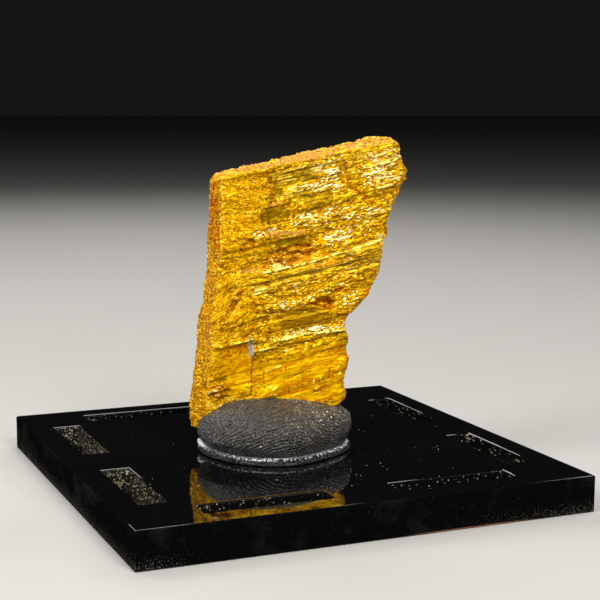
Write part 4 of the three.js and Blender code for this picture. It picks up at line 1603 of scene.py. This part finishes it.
@dataclass
class DisplayPlate:
    """The square acrylic plate with two slots along each side, in millimetres."""

    side: float = 76.0
    thickness: float = 6.0
    bevel: float = 0.3
    slot_length: float = 20.6
    slot_width: float = 4.4
    slot_margin: float = 4.4
    slot_spacing: float = 31.5
    clear_edge: float = 0.6  # no grains here
    clumps: tuple[tuple[Pair, float, int], ...] = (  # the middle, the spread and the grains
        ((9.5, -18.1), 0.1, 1), ((22.3, -11.5), 1.6, 7), ((-14.7, -9.4), 0.8, 6),
        ((-9.4, -15.1), 2.0, 8), ((1.0, -19.0), 4.0, 8), ((0, -6), 17.0, 22), ((0, 0), 26.0, 60))

    def build(self) -> None:
        """Builds the plate and the grains on it."""
        bm = bmesh.new()
        bmesh.ops.create_grid(bm, x_segments=1, y_segments=1, size=self.side / 2)
        for cut in self._cuts():
            for normal in (Vector((1, 0, 0)), Vector((0, 1, 0))):
                bmesh.ops.bisect_plane(bm, geom=bm.verts[:] + bm.edges[:] + bm.faces[:],
                                       plane_co=normal * cut, plane_no=normal)
        slots = [f for f in bm.faces if self._in_slot(f.calc_center_median())]
        bmesh.ops.delete(bm, geom=slots, context="FACES")
        grown = bmesh.ops.extrude_face_region(bm, geom=bm.faces[:])["geom"]
        top = [v for v in grown if isinstance(v, bmesh.types.BMVert)]
        bmesh.ops.translate(bm, verts=top, vec=(0, 0, self.thickness))
        bmesh.ops.recalc_face_normals(bm, faces=bm.faces[:])
        for face in bm.faces:
            centre = face.calc_center_median()
            outer = max(abs(centre.x), abs(centre.y)) > self.side / 2 - 0.01
            face.material_index = 0 if abs(face.normal.z) > 0.5 else 2 if outer else 1
        sharp = [e for e in bm.edges if e.calc_face_angle(0) > 1]
        bmesh.ops.bevel(bm, geom=sharp, offset=self.bevel, affect="EDGES", segments=3, profile=0.5,
                        material=-1)
        bmesh.ops.scale(bm, verts=bm.verts[:], vec=(MM, MM, MM))
        piece = to_object(
            bm, "acrylic_plate", PolishedAcrylic("polished black acrylic").build(),
            SawnAcrylic("frosted black acrylic").build(),
            ScrapedAcrylic("scraped black acrylic").build())
        for polygon in piece.data.polygons:
            polygon.use_smooth = max(abs(c) for c in polygon.normal) < 0.999
        place(piece, "black_acrylic", "base_plate")
        self._sprinkle()

    def _sprinkle(self) -> None:
        """Drops grains of the slab on the plate, most of them near the putty's foot."""
        dust = Dust("plate_dust", 23)
        for middle, spread, left in self.clumps:
            while left:
                x, y = (dust.lot.gauss(c, spread) for c in Vector(middle))
                spot = Vector((x, y, self.thickness))
                on_plate = max(abs(x), abs(y)) < self.side / 2 - self.clear_edge
                if on_plate and not self._in_slot(spot):
                    dust.add(spot * MM, dust.lot.uniform(0.06, 0.17))
                    left -= 1
        dust.build()

    def _cuts(self) -> list[float]:
        """Finds where the plate has to be cut for its slots.

        Returns:
            Every place along X and Y where a slot starts or ends, in mm.
        """
        slots = ((self._inset(), self.slot_width), (self.slot_spacing / 2, self.slot_length))
        ends = [middle + s * long / 2 for middle, long in slots for s in (-1, 1)]
        return [s * end for end in ends for s in (-1, 1)]

    def _inset(self) -> float:
        """Returns how far a row of slots lies from the plate's middle."""
        return self.side / 2 - self.slot_margin - self.slot_width / 2

    def _in_slot(self, spot: Vector) -> bool:
        """Tests a point of the plate against the slots.

        Args:
            spot: the point, in mm.

        Returns:
            Whether it lies in one of the slots.
        """
        return any(
            abs(abs(over) - self._inset()) < self.slot_width / 2
            and abs(abs(along) - self.slot_spacing / 2) < self.slot_length / 2
            for along, over in ((spot.x, spot.y), (spot.y, spot.x)))


# ---- Stage ----


@dataclass(frozen=True)
class Softbox:
    """A square area light that looks at the specimen, in metres, degrees and watts."""

    name: str
    azimuth: float
    elevation: float
    distance: float
    size: float
    power: float

    def build(self, target: Vector) -> None:
        """Hangs the light.

        Args:
            target: the point that it looks at.
        """
        turn, rise = math.radians(self.azimuth), math.radians(self.elevation)
        back = Vector((
            math.sin(turn) * math.cos(rise), -math.cos(turn) * math.cos(rise), math.sin(rise)))
        light = bpy.data.lights.new(self.name, "AREA")
        light.shape = "SQUARE"
        light.size = self.size
        light.energy = self.power
        lamp = bpy.data.objects.new(self.name, light)
        lamp.location = target + back * self.distance
        lamp.rotation_mode = "QUATERNION"
        lamp.rotation_quaternion = (-back).to_track_quat("-Z", "Y")
        bpy.context.scene.collection.objects.link(lamp)


@dataclass
class Studio:
    """The pale floor, the soft lights, the dark room and the camera."""

    floor_half: float = 4.0
    room: str = "#151514"
    camera_spot: Triple = (-0.09148, -0.21843, 0.06533)
    camera_right: Triple = (0.91795, -0.39666, 0.00536)
    camera_up: Triple = (0.05205, 0.13383, 0.98964)
    lens: float = 84.46
    sensor: float = 36.0
    target: Triple = (0.0, 0.0, 0.03)
    lights: tuple[Softbox, ...] = (
        Softbox("key", 2, 42, 0.45, 0.16, 1.6),
        Softbox("front_glint", 4, 20, 0.5, 0.12, 0.5),
        Softbox("left_fill", -78, 34, 0.5, 0.18, 2.3),
        Softbox("overhead", -20, 78, 0.5, 0.16, 0.6),
        Softbox("right_rim", 105, 42, 0.5, 0.13, 0.6),
        Softbox("back_rim", -142, 46, 0.5, 0.14, 0.8),
        Softbox("back_fill", 165, 40, 0.6, 0.3, 1.2))

    def build(self) -> None:
        """Builds the whole stage."""
        self._build_floor()
        self._build_room()
        for light in self.lights:
            light.build(Vector(self.target))
        self._build_camera()

    def _build_floor(self) -> None:
        """Lays the floor under the plate."""
        bm = bmesh.new()
        bmesh.ops.create_grid(bm, x_segments=1, y_segments=1, size=self.floor_half)
        to_object(bm, "floor", StudioPaper("pale studio paper").build())

    def _build_room(self) -> None:
        """Darkens the room, so that the plate mirrors black."""
        world = bpy.data.worlds.new("dark room")
        world.use_nodes = True
        world.node_tree.nodes["Background"].inputs["Color"].default_value = linear(self.room)
        bpy.context.scene.world = world
        bpy.context.scene.view_settings.view_transform = "Standard"

    def _build_camera(self) -> None:
        """Sets up the camera at the specimen's viewing angle."""
        right, up = Vector(self.camera_right).normalized(), Vector(self.camera_up).normalized()
        data = bpy.data.cameras.new("camera")
        data.sensor_width = self.sensor
        data.lens = self.lens
        data.clip_start = 0.01
        camera = bpy.data.objects.new("camera", data)
        turn = Matrix((right, up, right.cross(up))).transposed().to_4x4()
        camera.matrix_world = Matrix.Translation(self.camera_spot) @ turn
        bpy.context.scene.collection.objects.link(camera)
        bpy.context.scene.camera = camera


def main() -> None:
    """Builds the specimen and its stage."""
    logging.basicConfig(level=logging.INFO, format="%(name)s: %(message)s")
    noise.seed_set(7)
    Studio().build()
    plate = DisplayPlate()
    plate.build()
    slab = OrpimentSlab()
    slab.build(plate.thickness)
    PuttyLump(slab).build(plate.thickness)


if __name__ == "__main__":
    main()
